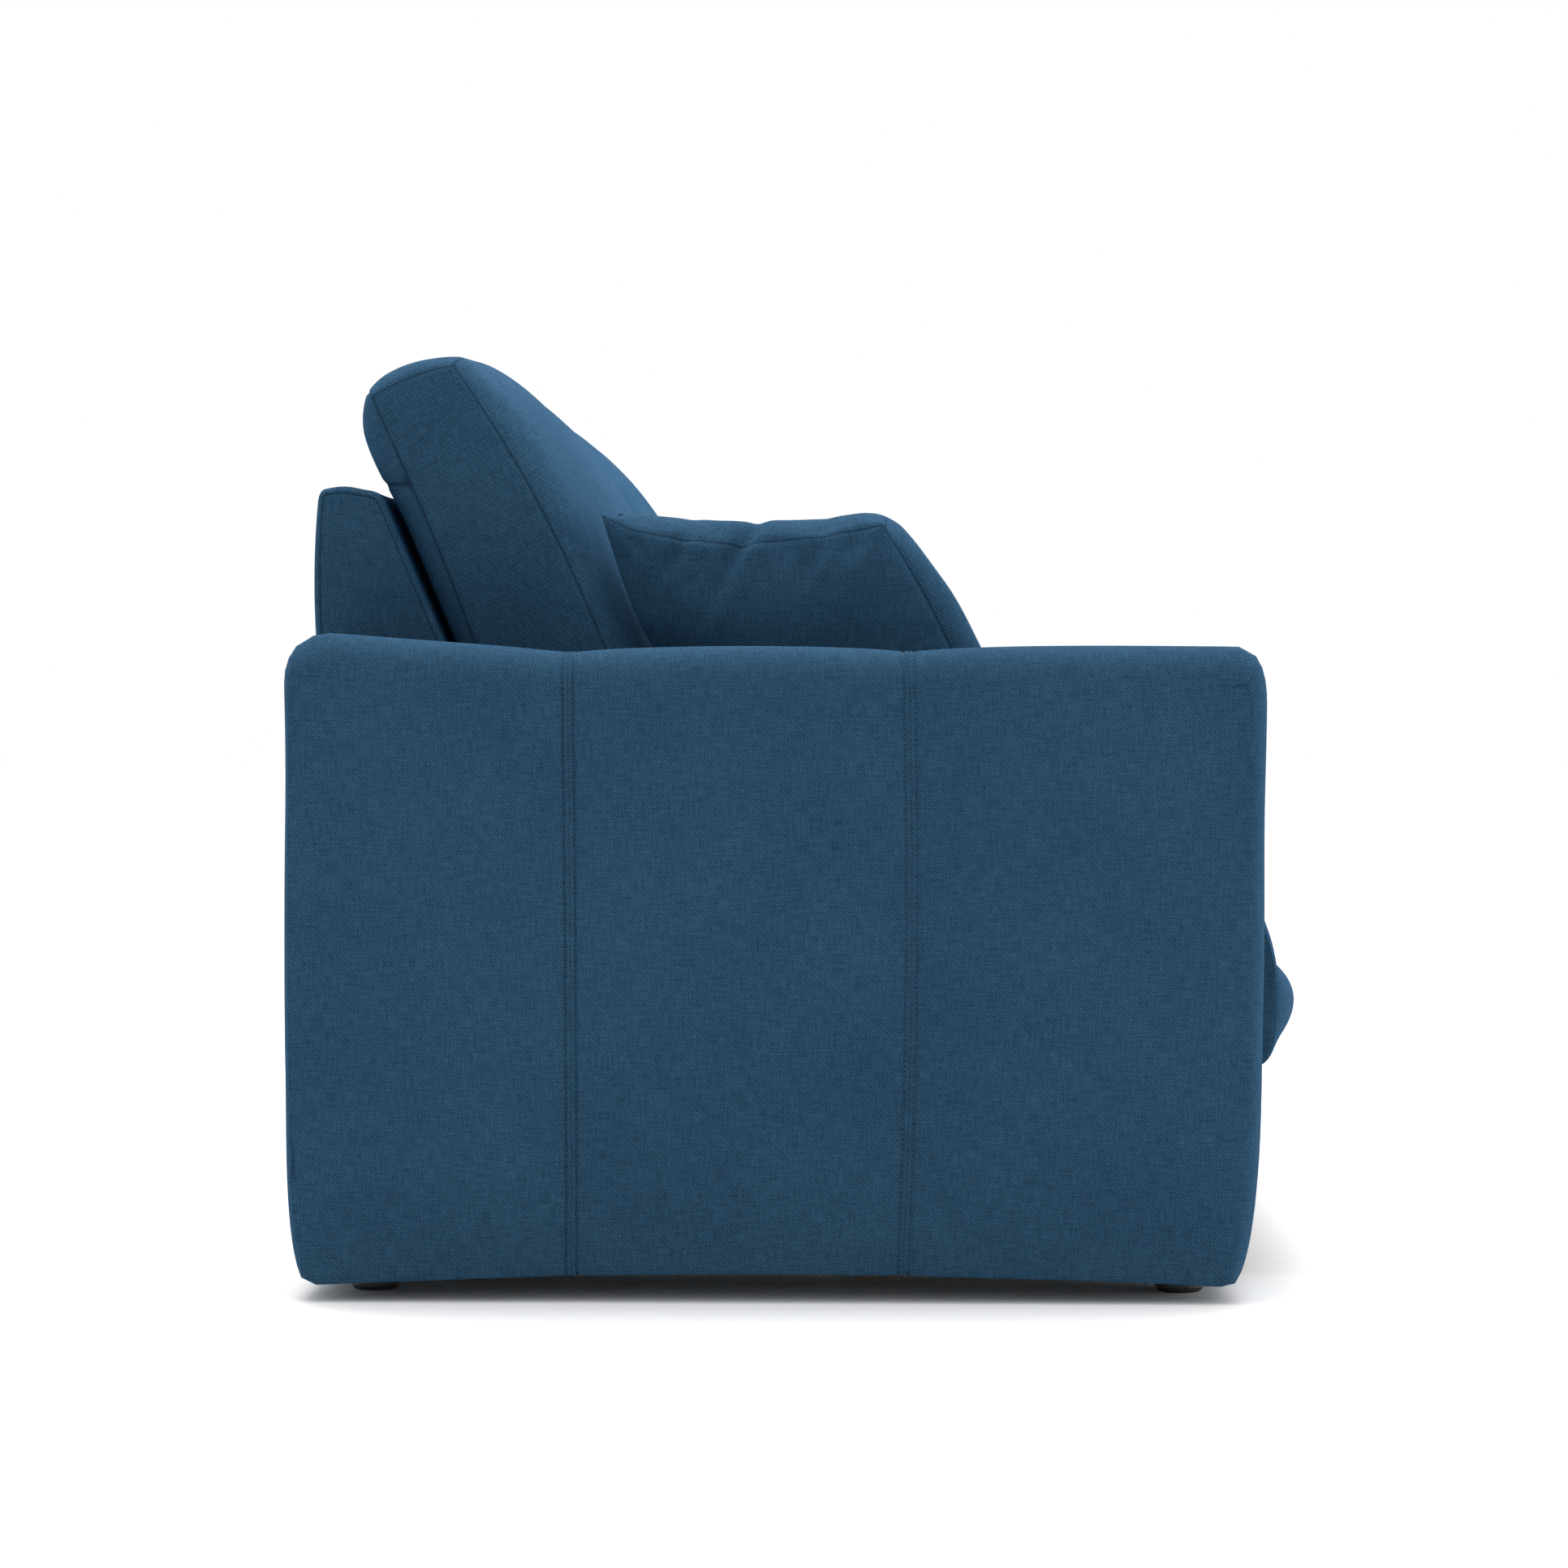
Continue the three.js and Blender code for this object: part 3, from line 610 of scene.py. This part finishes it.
def smoothed(obj, shift, held):
    """Each free point's movement, averaged with its neighbours' so that only wider folds are left."""
    ends = edge_ends(obj.data)
    count = np.bincount(ends.ravel(), minlength=len(shift))[:, None]
    free = (1 - held)[:, None]
    for _ in range(SMOOTH_ROUNDS):
        total = np.zeros_like(shift)
        np.add.at(total, ends[:, 0], shift[ends[:, 1]])
        np.add.at(total, ends[:, 1], shift[ends[:, 0]])
        shift = shift + free * SMOOTH_SHARE * (total / np.maximum(1, count) - shift)
    return shift


def inflate(obj, held, cap, slack):
    """Blows the piece up as cloth held where held is 1, with the largest movement kept to the cap."""
    before = get_points(obj)
    group = obj.vertex_groups.new(name="held")
    for value in np.unique(held[held > 0]):
        group.add([int(i) for i in np.nonzero(held == value)[0]], float(value), "REPLACE")
    cloth = obj.modifiers.new("cloth", "CLOTH")
    settings = cloth.settings
    settings.quality = 6
    settings.mass = 0.25
    settings.tension_stiffness = 22
    settings.compression_stiffness = 22
    settings.shear_stiffness = 8
    settings.bending_stiffness = 0.6
    settings.air_damping = 2.0
    settings.use_pressure = True
    settings.uniform_pressure_force = CLOTH_PRESSURE
    settings.shrink_min = -slack
    settings.vertex_group_mass = "held"
    settings.effector_weights.gravity = 0
    cloth.collision_settings.use_collision = False
    cloth.point_cache.frame_start = 1
    cloth.point_cache.frame_end = CLOTH_FRAMES
    scene = bpy.context.scene
    for number in range(1, CLOTH_FRAMES + 1):
        scene.frame_set(number)
    moved = np.empty(len(before) * 3)
    shown = obj.evaluated_get(bpy.context.evaluated_depsgraph_get())
    shown.data.vertices.foreach_get("co", moved)
    obj.modifiers.remove(cloth)
    obj.vertex_groups.clear()
    scene.frame_set(1)
    shift = smoothed(obj, moved.reshape(-1, 3) - before, held)
    size = np.linalg.norm(shift, axis=1)
    limit = np.percentile(size, 99)
    if limit > cap:
        shift *= cap / limit
    size = np.linalg.norm(shift, axis=1)
    shift *= np.minimum(1, 1.15 * cap / np.maximum(size, 1e-9))[:, None]
    set_points(obj, before + shift)


SEAM_CREASE = 0.7


def refine(obj, depth):
    """Halves the mesh, keeps the seams sharp, and sinks them by the depth."""
    sharp = seam_marks(obj.data)[edge_ends(obj.data)].min(axis=1)
    edge_crease = obj.data.attributes.new("crease_edge", "FLOAT", "EDGE")
    edge_crease.data.foreach_set("value", (sharp * SEAM_CREASE).astype(np.float32))
    bpy.context.view_layer.objects.active = obj
    modifier = obj.modifiers.new("smooth", "SUBSURF")
    modifier.levels = 1
    modifier.render_levels = 1
    bpy.ops.object.modifier_apply(modifier=modifier.name)
    sink = np.clip((seam_marks(obj.data) - 0.75) * 4, 0, 1)
    set_points(obj, get_points(obj) - get_normals(obj) * (sink * depth)[:, None])


def finish_piece(obj, body, *replaced, fill=None, material=None):
    obj.data.materials.clear()
    obj.data.materials.append(material or FABRIC)
    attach(obj, body)
    if replaced:
        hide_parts(*replaced)
    return obj


STITCH_PITCH = 0.0052
STITCH_LENGTH = 0.0036
THREAD_RADIUS = 0.00055
THREAD_SIDES = 5


def stitches(name, lines):
    """Short thread capsules along lines of (points, outward normals)."""
    half, radius, sides = STITCH_LENGTH / 2, THREAD_RADIUS, THREAD_SIDES
    corners, faces = [], []
    for points, normals in lines:
        along = np.concatenate([[0], np.cumsum(np.linalg.norm(np.diff(points, axis=0), axis=1))])
        for middle in np.arange(STITCH_PITCH, along[-1] - STITCH_PITCH, STITCH_PITCH):
            places = [middle - half, middle, middle + half]
            spots = np.stack([np.interp(places, along, points[:, k]) for k in range(3)], axis=1)
            normal = unit(np.array([np.interp(middle, along, normals[:, k]) for k in range(3)]))
            side = np.cross(unit(spots[2] - spots[0]), normal)
            start = len(corners)
            for spot, thick, lift in zip(spots, (0.35, 1.0, 0.35), (-0.5, 0.55, -0.5)):
                for k in range(sides):
                    angle = 2 * math.pi * k / sides
                    spoke = side * math.cos(angle) + normal * math.sin(angle)
                    corners.append(spot + normal * radius * lift + spoke * radius * thick)
            for ring in (0, sides):
                for k in range(sides):
                    a, b = start + ring + k, start + ring + (k + 1) % sides
                    faces.append((a, b, b + sides, a + sides))
            faces.append(tuple(start + k for k in reversed(range(sides))))
            faces.append(tuple(start + 2 * sides + k for k in range(sides)))
    mesh = bpy.data.meshes.new(name)
    mesh.from_pydata([tuple(c) for c in corners], [], faces)
    mesh.polygons.foreach_set("use_smooth", [True] * len(faces))
    obj = bpy.data.objects.new(name, mesh)
    bpy.context.scene.collection.objects.link(obj)
    return obj


# --- the arms ---

# The two felled seams: x at the bottom and at the top, and how far they bow forward between.
ARM_SEAMS = ((-0.2319, -0.2359, 0.001), (0.0953, 0.1015, 0.0055))
FELL = 0.0048  # from a seam's middle to each row of topstitching
BESIDE_SEAM = (0, 0.7, 1.6, 3.0, 3.9, 4.8, 5.7, 7.0, 10, 15, 22, 32)  # mm from its middle
COLUMN_STEP = 0.016
ARM_OUTER = 1.170  # from the middle plane
ARM_TOP = 0.649
ARM_ROLL = 0.040  # how far in the long edges are rounded
ARM_BORDER = 0.0098  # from the rear to the border seam
BOARD_TOP = 0.405  # the mounting board lies against the arm up to here
PANEL_RISE = 0.0062  # how much fuller a panel is between its seams than at them
PANEL_TUCK = 0.0050  # how far the cover is pulled in at a seam
STITCH_SINK = 0.0022  # how deep each row of topstitching sinks
BORDER_SINK = 0.0014
ARM_OUTLINE = (
    (0.4215, 0.015),
    ((0.4505, 0.032), (0.4515, 0.240)),
    (0.4555, 0.595),
    ((0.4555, ARM_TOP), (0.4255, ARM_TOP)),
    (-0.266, ARM_TOP),
    ((-0.380, 0.654), (-0.4725, 0.662)),
    ((-0.5185, 0.662), (-0.5185, 0.612)),
    (-0.5185, 0.170),
    ((-0.5165, 0.018), (-0.4945, 0.015)),
    ((-0.040, 0.036), (0.4215, 0.015)),
)


def seam_columns(span, seams):
    """Shares across the arm, close together beside each seam."""
    marks = {0.0, 1.0}
    for middle in seams:
        for d in BESIDE_SEAM:
            marks.update({middle - d / 1000 / span, middle + d / 1000 / span})
    full = [0.0]
    for value in sorted(marks)[1:]:
        pieces = max(1, int(round((value - full[-1]) * span / COLUMN_STEP)))
        full += list(np.linspace(full[-1], value, pieces + 1)[1:])
    return np.array(full)


def along_side(side, shares, marks):
    """Points of a lower or upper side, where the marked shares fall on the marked x."""
    side = side[np.argsort(side[:, 0])]
    x = np.interp(shares, [0, *marks, 1], [side[0, 0], *marks.values(), side[-1, 0]])
    return np.column_stack([x, np.interp(x, side[:, 0], side[:, 1])])


def arm(side, sign):
    name = f"arm_upholstery_{side}"
    low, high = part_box(name)
    width = high[1] - low[1]
    corners = [(low[0], low[2]), (0.452, 0.0), (0.456, ARM_TOP), (low[0], high[2])]
    bottom, front, top, rear = four_sides(curve(*ARM_OUTLINE), corners)
    span = bottom[-1, 0] - bottom[0, 0]
    seams = [(x - bottom[0, 0]) / span for x, _, _ in ARM_SEAMS]
    across = seam_columns(span, seams)
    up = even(high[2] - low[2], 0.013, tight=False)
    lower = along_side(bottom, across, {s: seam[0] for s, seam in zip(seams, ARM_SEAMS)})
    upper = along_side(top, across, {s: seam[1] for s, seam in zip(seams, ARM_SEAMS)})
    ends = [sample(front, up)[:-1], upper[:0:-1], sample(rear, 1 - up[::-1])[:-1]]
    crown = np.vstack([lower[:-1], *ends])
    seam = shrunk(crown, front=0.017, rear=0.009, top=0.044, bottom=0.005)
    rings = quarter_rings(ARM_ROLL, width, steps=9, between=0.014)
    piece = Soft(crown, seam, seam, across, len(up), rings)
    piece.seam[:] = 0
    x, z, c = piece.local.T
    offsets = [(piece.column - s) * span for s in seams]
    for d, (_, _, bow) in zip(offsets, ARM_SEAMS):
        piece.local[:, 0] += bow * np.sin(math.pi * np.clip(z / 0.64, 0, 1)) * gauss(d, 0.12)
    # Each panel is fuller between its seams than at them.
    nearest = np.minimum(*np.abs(offsets))
    fullness = 1 - np.exp(-nearest / 0.050)
    low_edge = np.clip((z - low[2]) / 0.12, 0.3, 1)
    amount = (PANEL_RISE * fullness - PANEL_TUCK) * low_edge
    amount += 0.0010 * lumps(piece.local, size=0.26, seed=3 if sign < 0 else 4)
    for d in offsets:
        amount += 0.0010 * (np.abs(d) < FELL) - 0.0010 * gauss(d, 0.0010)
        amount -= STITCH_SINK * (gauss(d - FELL, 0.0012) + gauss(d + FELL, 0.0012))
        # These seam marks only darken the cover's colour: painted shade along each seam's middle and its
        # two rows of topstitching.
        piece.seam += 0.82 * gauss(d, 0.0009) + gauss(d - FELL, 0.0010) + gauss(d + FELL, 0.0010)
    # The border seam runs near the rear edge of each side panel.
    border = x - (low[0] + ARM_BORDER)
    on_panel = piece.panel & (z < high[2] - 0.09)
    amount -= BORDER_SINK * gauss(border, 0.0016) * on_panel
    # painted shade along the border seam
    piece.seam += gauss(border, 0.0014) * on_panel
    piece.push(amount)
    inner = c > width - 0.002
    piece.local[inner, 2] = np.minimum(piece.local[inner, 2], width + 0.002)
    beside_board = inner & (z < BOARD_TOP)
    piece.local[beside_board, 2] = width - 0.003

    def place(p):
        return np.column_stack([p[:, 0], p[:, 2] - ARM_OUTER, p[:, 1]])

    obj = piece.mesh(f"arm_cover_{side}", place, sign)
    finish_piece(obj, "base", name, fill=0.9)
    world, normals = get_points(obj), get_normals(obj)
    lines = []
    n, m = len(across), len(up)
    for s in seams:
        for offset in (-FELL, FELL):
            column = int(np.argmin(np.abs(across - s - offset / span)))
            over = [int(loop[n + m - 2 + n - 1 - column]) for loop in piece.loops[1:-1]]
            track = list(piece.grids[0][:, column]) + over + list(piece.grids[1][::-1, column])
            lines.append((world[track], normals[track]))
    finish_piece(stitches(f"arm_topstitch_{side}", lines), "base", material=THREAD)


# --- the cushions ---

LEAN = math.radians(23)  # how far the closed back leans from upright
PIVOT = np.array([-0.1115, 0.450])  # x and z of the hinge's axis
CUSHION_OUTER = 0.930  # from the middle plane
BAND_START = 0.004
BAND_WIDTH = 0.916
CUSHION_STEP = 0.014
SEAM_SINK = 0.0017

# Outlines of the band's crown and of the side panel's seam, and their corners: lower rear first,
# then anticlockwise. The back cushion's are forward of the hinge's axis and up along the back.
BACK_CROWN = (
    (0.010, 0.003),
    ((0.039, 0.003), (0.039, 0.044)),
    (0.036, 0.340),
    ((0.036, 0.500), (-0.026, 0.564)),
    ((-0.068, 0.588), (-0.122, 0.580)),
    ((-0.156, 0.570), (-0.165, 0.530)),
    ((-0.168, 0.490), (-0.161, 0.455)),
    (-0.162, 0.080),
    ((-0.162, 0.004), (-0.130, 0.003)),
)
BACK_CROWN_CORNERS = ((-0.165, 0.004), (0.036, 0.004), (-0.026, 0.575), (-0.150, 0.580))
BACK_SEAM = (
    (0.014, 0.007),
    ((-0.014, 0.100), (-0.015, 0.226)),
    ((-0.012, 0.400), (-0.046, 0.558)),
    ((-0.090, 0.567), (-0.138, 0.561)),
    ((-0.131, 0.420), (-0.138, 0.300)),
    ((-0.142, 0.150), (-0.138, 0.010)),
)
BACK_SEAM_CORNERS = ((-0.138, 0.010), (0.014, 0.007), (-0.046, 0.558), (-0.138, 0.561))
BACK_CROSS_SEAMS = ((-0.026, 0.575), (-0.150, 0.580), (-0.163, 0.466))
SEAT_CROWN = (
    (-0.0965, 0.2036),
    (0.430, 0.2036),
    ((0.482, 0.206), (0.490, 0.236)),
    ((0.538, 0.280), (0.4915, 0.318)),
    ((0.4775, 0.440), (0.330, 0.453)),
    ((0.160, 0.463), (0.030, 0.460)),
    (-0.072, 0.4640),
    ((-0.0965, 0.4610), (-0.1105, 0.4490)),
    (-0.1105, 0.2173),
    ((-0.1105, 0.2036), (-0.0965, 0.2036)),
)
SEAT_CROWN_CORNERS = ((-0.1085, 0.203), (0.480, 0.212), (0.492, 0.318), (-0.1105, 0.4490))
SEAT_SEAM = (
    (-0.098, 0.212),
    (0.462, 0.213),
    ((0.480, 0.218), (0.481, 0.240)),
    ((0.487, 0.280), (0.483, 0.316)),
    ((0.470, 0.418), (0.400, 0.430)),
    (-0.080, 0.446),
    (-0.1075, 0.442),
    (-0.104, 0.214),
)
SEAT_SEAM_CORNERS = ((-0.104, 0.212), (0.476, 0.220), (0.483, 0.316), (-0.1075, 0.442))


def cushion(name, sign, body, node, piece, place, held, cap, pucker, seed, slack=0.02):
    """Sews, fills and finishes one boxed cushion, puckered a little beside its seams."""
    free = 1 - held
    ripple = lumps(piece.local, size=0.050, seed=seed) * gauss(piece.reach, 0.020)
    ripple *= 1 - gauss(piece.reach, 0.003)
    uneven = lumps(piece.local, size=0.22, seed=seed + 50) * 0.0016
    piece.push((ripple * pucker + uneven) * free)
    obj = piece.mesh(name, place, sign)
    inflate(obj, np.maximum(held, np.clip(piece.seam, 0, 1)), cap, slack)
    refine(obj, SEAM_SINK)
    return finish_piece(obj, body, node, fill=0.85)


def back_cushion(side, sign):
    across, up = even(0.13, CUSHION_STEP), even(0.53, CUSHION_STEP)
    crown = loop_of(BACK_CROWN, BACK_CROWN_CORNERS, across, up)
    seam = loop_of(BACK_SEAM, BACK_SEAM_CORNERS, across, up)
    rings = crowned_rings(BAND_START, BAND_WIDTH, radius=0.24, between=CUSHION_STEP)
    lip = lip_shares(crown, front=0.35, others=0.9)
    piece = Soft(crown, seam, seam, across, len(up), rings, lip)
    for spot in BACK_CROSS_SEAMS:
        piece.add_cross_seam(spot)
    piece.swell(near=0.004, far=0.003, spread=0.03)
    forward, rise, _ = piece.local.T
    against_back = (forward < -0.150) & (rise < 0.44)
    held = ((rise < 0.03) | against_back).astype(float)

    def place(p):
        x = PIVOT[0] - p[:, 1] * math.sin(LEAN) + p[:, 0] * math.cos(LEAN)
        z = PIVOT[1] + p[:, 1] * math.cos(LEAN) + p[:, 0] * math.sin(LEAN)
        return np.column_stack([x, p[:, 2] - CUSHION_OUTER, z])

    cushion(
        f"back_cushion_cover_{side}", sign, "back", f"back_cushion_{side}", piece, place, held,
        cap=0.012, pucker=0.0014, seed=11 if sign < 0 else 21,
    )


def seat_cushion(side, sign):
    across, up = even(0.57, CUSHION_STEP), even(0.17, CUSHION_STEP)
    crown = loop_of(SEAT_CROWN, SEAT_CROWN_CORNERS, across, up)
    seam = loop_of(SEAT_SEAM, SEAT_SEAM_CORNERS, across, up)
    rings = crowned_rings(BAND_START, BAND_WIDTH, radius=0.16, between=CUSHION_STEP)
    lip = lip_shares(crown, front=0.2, others=0.6)
    piece = Soft(crown, seam, seam, across, len(up), rings, lip, unrolled=True)
    for spot in SEAT_CROWN_CORNERS[2:]:
        piece.add_cross_seam(spot)
    piece.swell(near=0.003, far=0.003, spread=0.03)
    x, z, _ = piece.local.T
    held = ((z < 0.215) | (x < -0.055)).astype(float)

    def place(p):
        return np.column_stack([p[:, 0], p[:, 2] - CUSHION_OUTER, p[:, 1]])

    cushion(
        f"seat_cushion_cover_{side}", sign, "seat", f"seat_cushion_{side}", piece, place, held,
        cap=0.008, pucker=0.0012, seed=31 if sign < 0 else 41,
    )


PILLOW_TILT = math.radians(11)
PILLOW_STEP = 0.011
# Where the pillow's outer side crosses the height of the arm's top: from the middle plane, and up.
PILLOW_OUT, PILLOW_UP = 0.942, 0.650
PILLOW_CROWN = (
    (-0.054, 0.463),
    (0.214, 0.463),
    ((0.256, 0.467), (0.228, 0.538)),
    ((0.165, 0.690), (0.095, 0.764)),
    ((0.074, 0.785), (0.040, 0.779)),
    ((-0.060, 0.768), (-0.188, 0.779)),
    ((-0.202, 0.779), (-0.199, 0.767)),
    (-0.0700, 0.478),
    ((-0.069, 0.463), (-0.054, 0.463)),
)
PILLOW_CROWN_CORNERS = ((-0.068, 0.464), (0.246, 0.470), (0.072, 0.783), (-0.204, 0.783))
PILLOW_SEAM = (
    (-0.076, 0.474),
    (0.206, 0.474),
    ((0.165, 0.634), (0.082, 0.764)),
    (0.077, 0.775),
    ((0.030, 0.763), (-0.068, 0.753)),
    ((-0.130, 0.756), (-0.185, 0.768)),
    (-0.219, 0.785),
    ((-0.192, 0.690), (-0.165, 0.640)),
)
PILLOW_SEAM_CORNERS = ((-0.076, 0.474), (0.206, 0.474), (0.077, 0.775), (-0.219, 0.785))
# Folds that run down from the pillow's slack upper seam: start, end, width and depth.
PILLOW_FOLDS = (
    ((-0.050, 0.775), (-0.090, 0.730), 0.007, 0.0060),
    ((-0.074, 0.750), (-0.110, 0.680), 0.009, 0.0060),
    ((-0.126, 0.764), (-0.160, 0.712), 0.008, 0.0055),
    ((0.016, 0.766), (-0.010, 0.708), 0.009, 0.0050),
    ((0.060, 0.768), (0.030, 0.738), 0.010, 0.0030),
    ((-0.195, 0.768), (-0.170, 0.735), 0.008, 0.0030),
)


def crease(flat, start, end, width, depth):
    """Height of a valley from start to end, with a soft ridge behind it."""
    start, end = np.array(start), np.array(end)
    length = np.linalg.norm(end - start)
    along = (flat - start) @ (end - start) / length
    across = (flat - start) @ np.array([end[1] - start[1], start[0] - end[0]]) / length
    fade = np.clip(1 - np.abs(along / length - 0.45) / 0.75, 0, 1)
    return fade * depth * (0.4 * gauss(across + 1.6 * width, 1.3 * width) - gauss(across, width))


def arm_pillow(side, sign):
    across, up = even(0.30, PILLOW_STEP), even(0.31, PILLOW_STEP)
    crown = loop_of(PILLOW_CROWN, PILLOW_CROWN_CORNERS, across, up)
    near_seam = loop_of(PILLOW_SEAM, PILLOW_SEAM_CORNERS, across, up)
    far_seam = near_seam + [0.014, -0.010]
    rings = crowned_rings(start=0.034, width=0.072, radius=0.036, between=PILLOW_STEP, lip_width=0.036)
    piece = Soft(crown, near_seam, far_seam, across, len(up), rings)
    for corner in PILLOW_SEAM_CORNERS[2:]:
        piece.add_cross_seam(corner)
    piece.swell(near=0.030, far=0.030, spread=0.055)
    held = (piece.local[:, 1] < 0.472).astype(float)
    cosine, sine = math.cos(PILLOW_TILT), math.sin(PILLOW_TILT)

    def place(p):
        height = p[:, 1] - ARM_TOP
        y = p[:, 2] * cosine - height * sine - PILLOW_OUT
        z = p[:, 2] * sine + height * cosine + PILLOW_UP
        return np.column_stack([p[:, 0], y, z])

    obj = cushion(
        f"arm_pillow_cover_{side}", sign, f"pillow_{side}", f"arm_pillow_{side}", piece, place, held,
        cap=0.010, pucker=0.0016, slack=0.018, seed=51 if sign < 0 else 61,
    )
    points = get_points(obj)
    inwards = -sign * points[:, 1] + PILLOW_OUT
    height = (points[:, 2] - PILLOW_UP) * cosine - inwards * sine
    flat = np.column_stack([points[:, 0], height + ARM_TOP])
    folds = sum(crease(flat, *fold) for fold in PILLOW_FOLDS)
    set_points(obj, points + get_normals(obj) * folds[:, None])


# --- the back shell and the flat covered boards ---

SHELL_STEP = 0.015
SHELL_HALF = 0.928  # half its length
SHELL_OUTLINE = (
    (-0.2681, 0.389),
    (-0.4440, 0.8040),
    ((-0.4479, 0.8155), (-0.4659, 0.8160)),
    ((-0.4850, 0.8225), (-0.5010, 0.8180)),
    ((-0.5145, 0.8180), (-0.5145, 0.8030)),
    ((-0.5215, 0.730), (-0.5145, 0.640)),
    (-0.5145, 0.445),
)
SHELL_CORNERS = ((-0.5145, 0.445), (-0.2681, 0.389), (-0.4479, 0.8155), (-0.5140, 0.8180))


def back_shell():
    across, up = even(0.15, SHELL_STEP), even(0.42, SHELL_STEP)
    crown = loop_of(SHELL_OUTLINE, SHELL_CORNERS, across, up)
    seam = shrunk(crown, front=0.006, rear=0.0075, top=0.0075, bottom=0.003)
    rings = quarter_rings(0.010, 2 * SHELL_HALF, steps=4, between=0.022)
    piece = Soft(crown, seam, seam, across, len(up), rings)
    above_foot = piece.local[:, 1] > 0.46
    piece.push(0.0014 * lumps(piece.local, size=0.24, seed=71) * above_foot)

    def place(p):
        return np.column_stack([p[:, 0], p[:, 2] - SHELL_HALF, p[:, 1]])

    obj = piece.mesh("back_shell_cover", place, -1)
    refine(obj, depth=0.0016)
    finish_piece(obj, "back", "back_shell", fill=0.9)


def covered_board(name, node, body, roundness, bulge, seed):
    """A board wrapped in thin wadding and fabric, with soft edges."""
    low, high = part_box(node)
    corners = [(low[0], low[2]), (high[0], low[2]), (high[0], high[2]), (low[0], high[2])]
    across, up = np.linspace(0, 1, 4), even(high[2] - low[2], 0.02, tight=False)
    crown = loop_of(corners, corners, across, up)
    seam = shrunk(crown, roundness, roundness, roundness, roundness)
    width = high[1] - low[1]
    rings = quarter_rings(roundness, width, steps=3, between=0.024)
    piece = Soft(crown, seam, seam, across, len(up), rings)
    piece.seam[:] = 0
    piece.push(bulge * lumps(piece.local, size=0.22, seed=seed))

    def place(p):
        return np.column_stack([p[:, 0], p[:, 2] - width / 2, p[:, 1]])

    obj = piece.mesh(name, place, -1)
    refine(obj, depth=0.0)
    finish_piece(obj, body, node, fill=0.95)


# --- run ---

make_camera()
make_studio()
FABRIC = fabric_material()
THREAD = thread_material()

PINE = wood_material("pine", (0.36, 0.20, 0.085), (0.62, 0.42, 0.22), along=1, roughness=0.6)
SLAT_WOOD = wood_material("birch_slats", (0.50, 0.33, 0.17), (0.74, 0.56, 0.35), along=0, roughness=0.5)
PLYWOOD = wood_material("plywood", (0.45, 0.30, 0.16), (0.68, 0.50, 0.31), along=0, roughness=0.65)
BLACK_STEEL = metal_material("black_steel", (0.012, 0.012, 0.013), 0.42, metallic=0.0, relief=0.35)
ZINC = metal_material("zinc_plate", (0.55, 0.56, 0.57), 0.33, metallic=1.0, relief=0.25)
ALUMINIUM = metal_material("mill_aluminium", (0.72, 0.73, 0.74), 0.3, metallic=1.0, relief=0.2)
PLASTIC = moulded_material("black_plastic", (0.012, 0.012, 0.012), roughness=0.5, grain=900.0)
RUBBER = moulded_material("wheel_rubber", (0.016, 0.016, 0.016), roughness=0.75, grain=500.0)

CAD_LOOKS = {
    "arm_frame": PLYWOOD,
    "mounting_board": PLYWOOD,
    "glide": PLASTIC,
    "guide_plate": BLACK_STEEL,
    "outer_rail": ZINC,
    "rear_beam": PINE,
    "front_beam": PINE,
    "seat_frame": PINE,
    "seat_slat": SLAT_WOOD,
    "runner": ALUMINIUM,
    "seat_bracket": BLACK_STEEL,
    "pivot_pin": ZINC,
    "caster_bracket": ZINC,
    "axle": ZINC,
    "wheel": RUBBER,
    "back_frame": PINE,
    "back_slat": SLAT_WOOD,
    "hinge_arm": BLACK_STEEL,
    "hinge_bolt": ZINC,
    "cam_roller": PLASTIC,
}
for node, obj in nodes.items():
    look = next((m for key, m in CAD_LOOKS.items() if node.startswith(key)), FABRIC)
    obj.data.materials.clear()
    obj.data.materials.append(look)

for side, sign in SIDES:
    arm(side, sign)
    back_cushion(side, sign)
    seat_cushion(side, sign)
    arm_pillow(side, sign)
back_shell()
covered_board("rear_panel_cover", "rear_panel", "base", roundness=0.005, bulge=0.0008, seed=81)
covered_board("front_board_cover", "front_board", "seat", roundness=0.005, bulge=0.0006, seed=82)
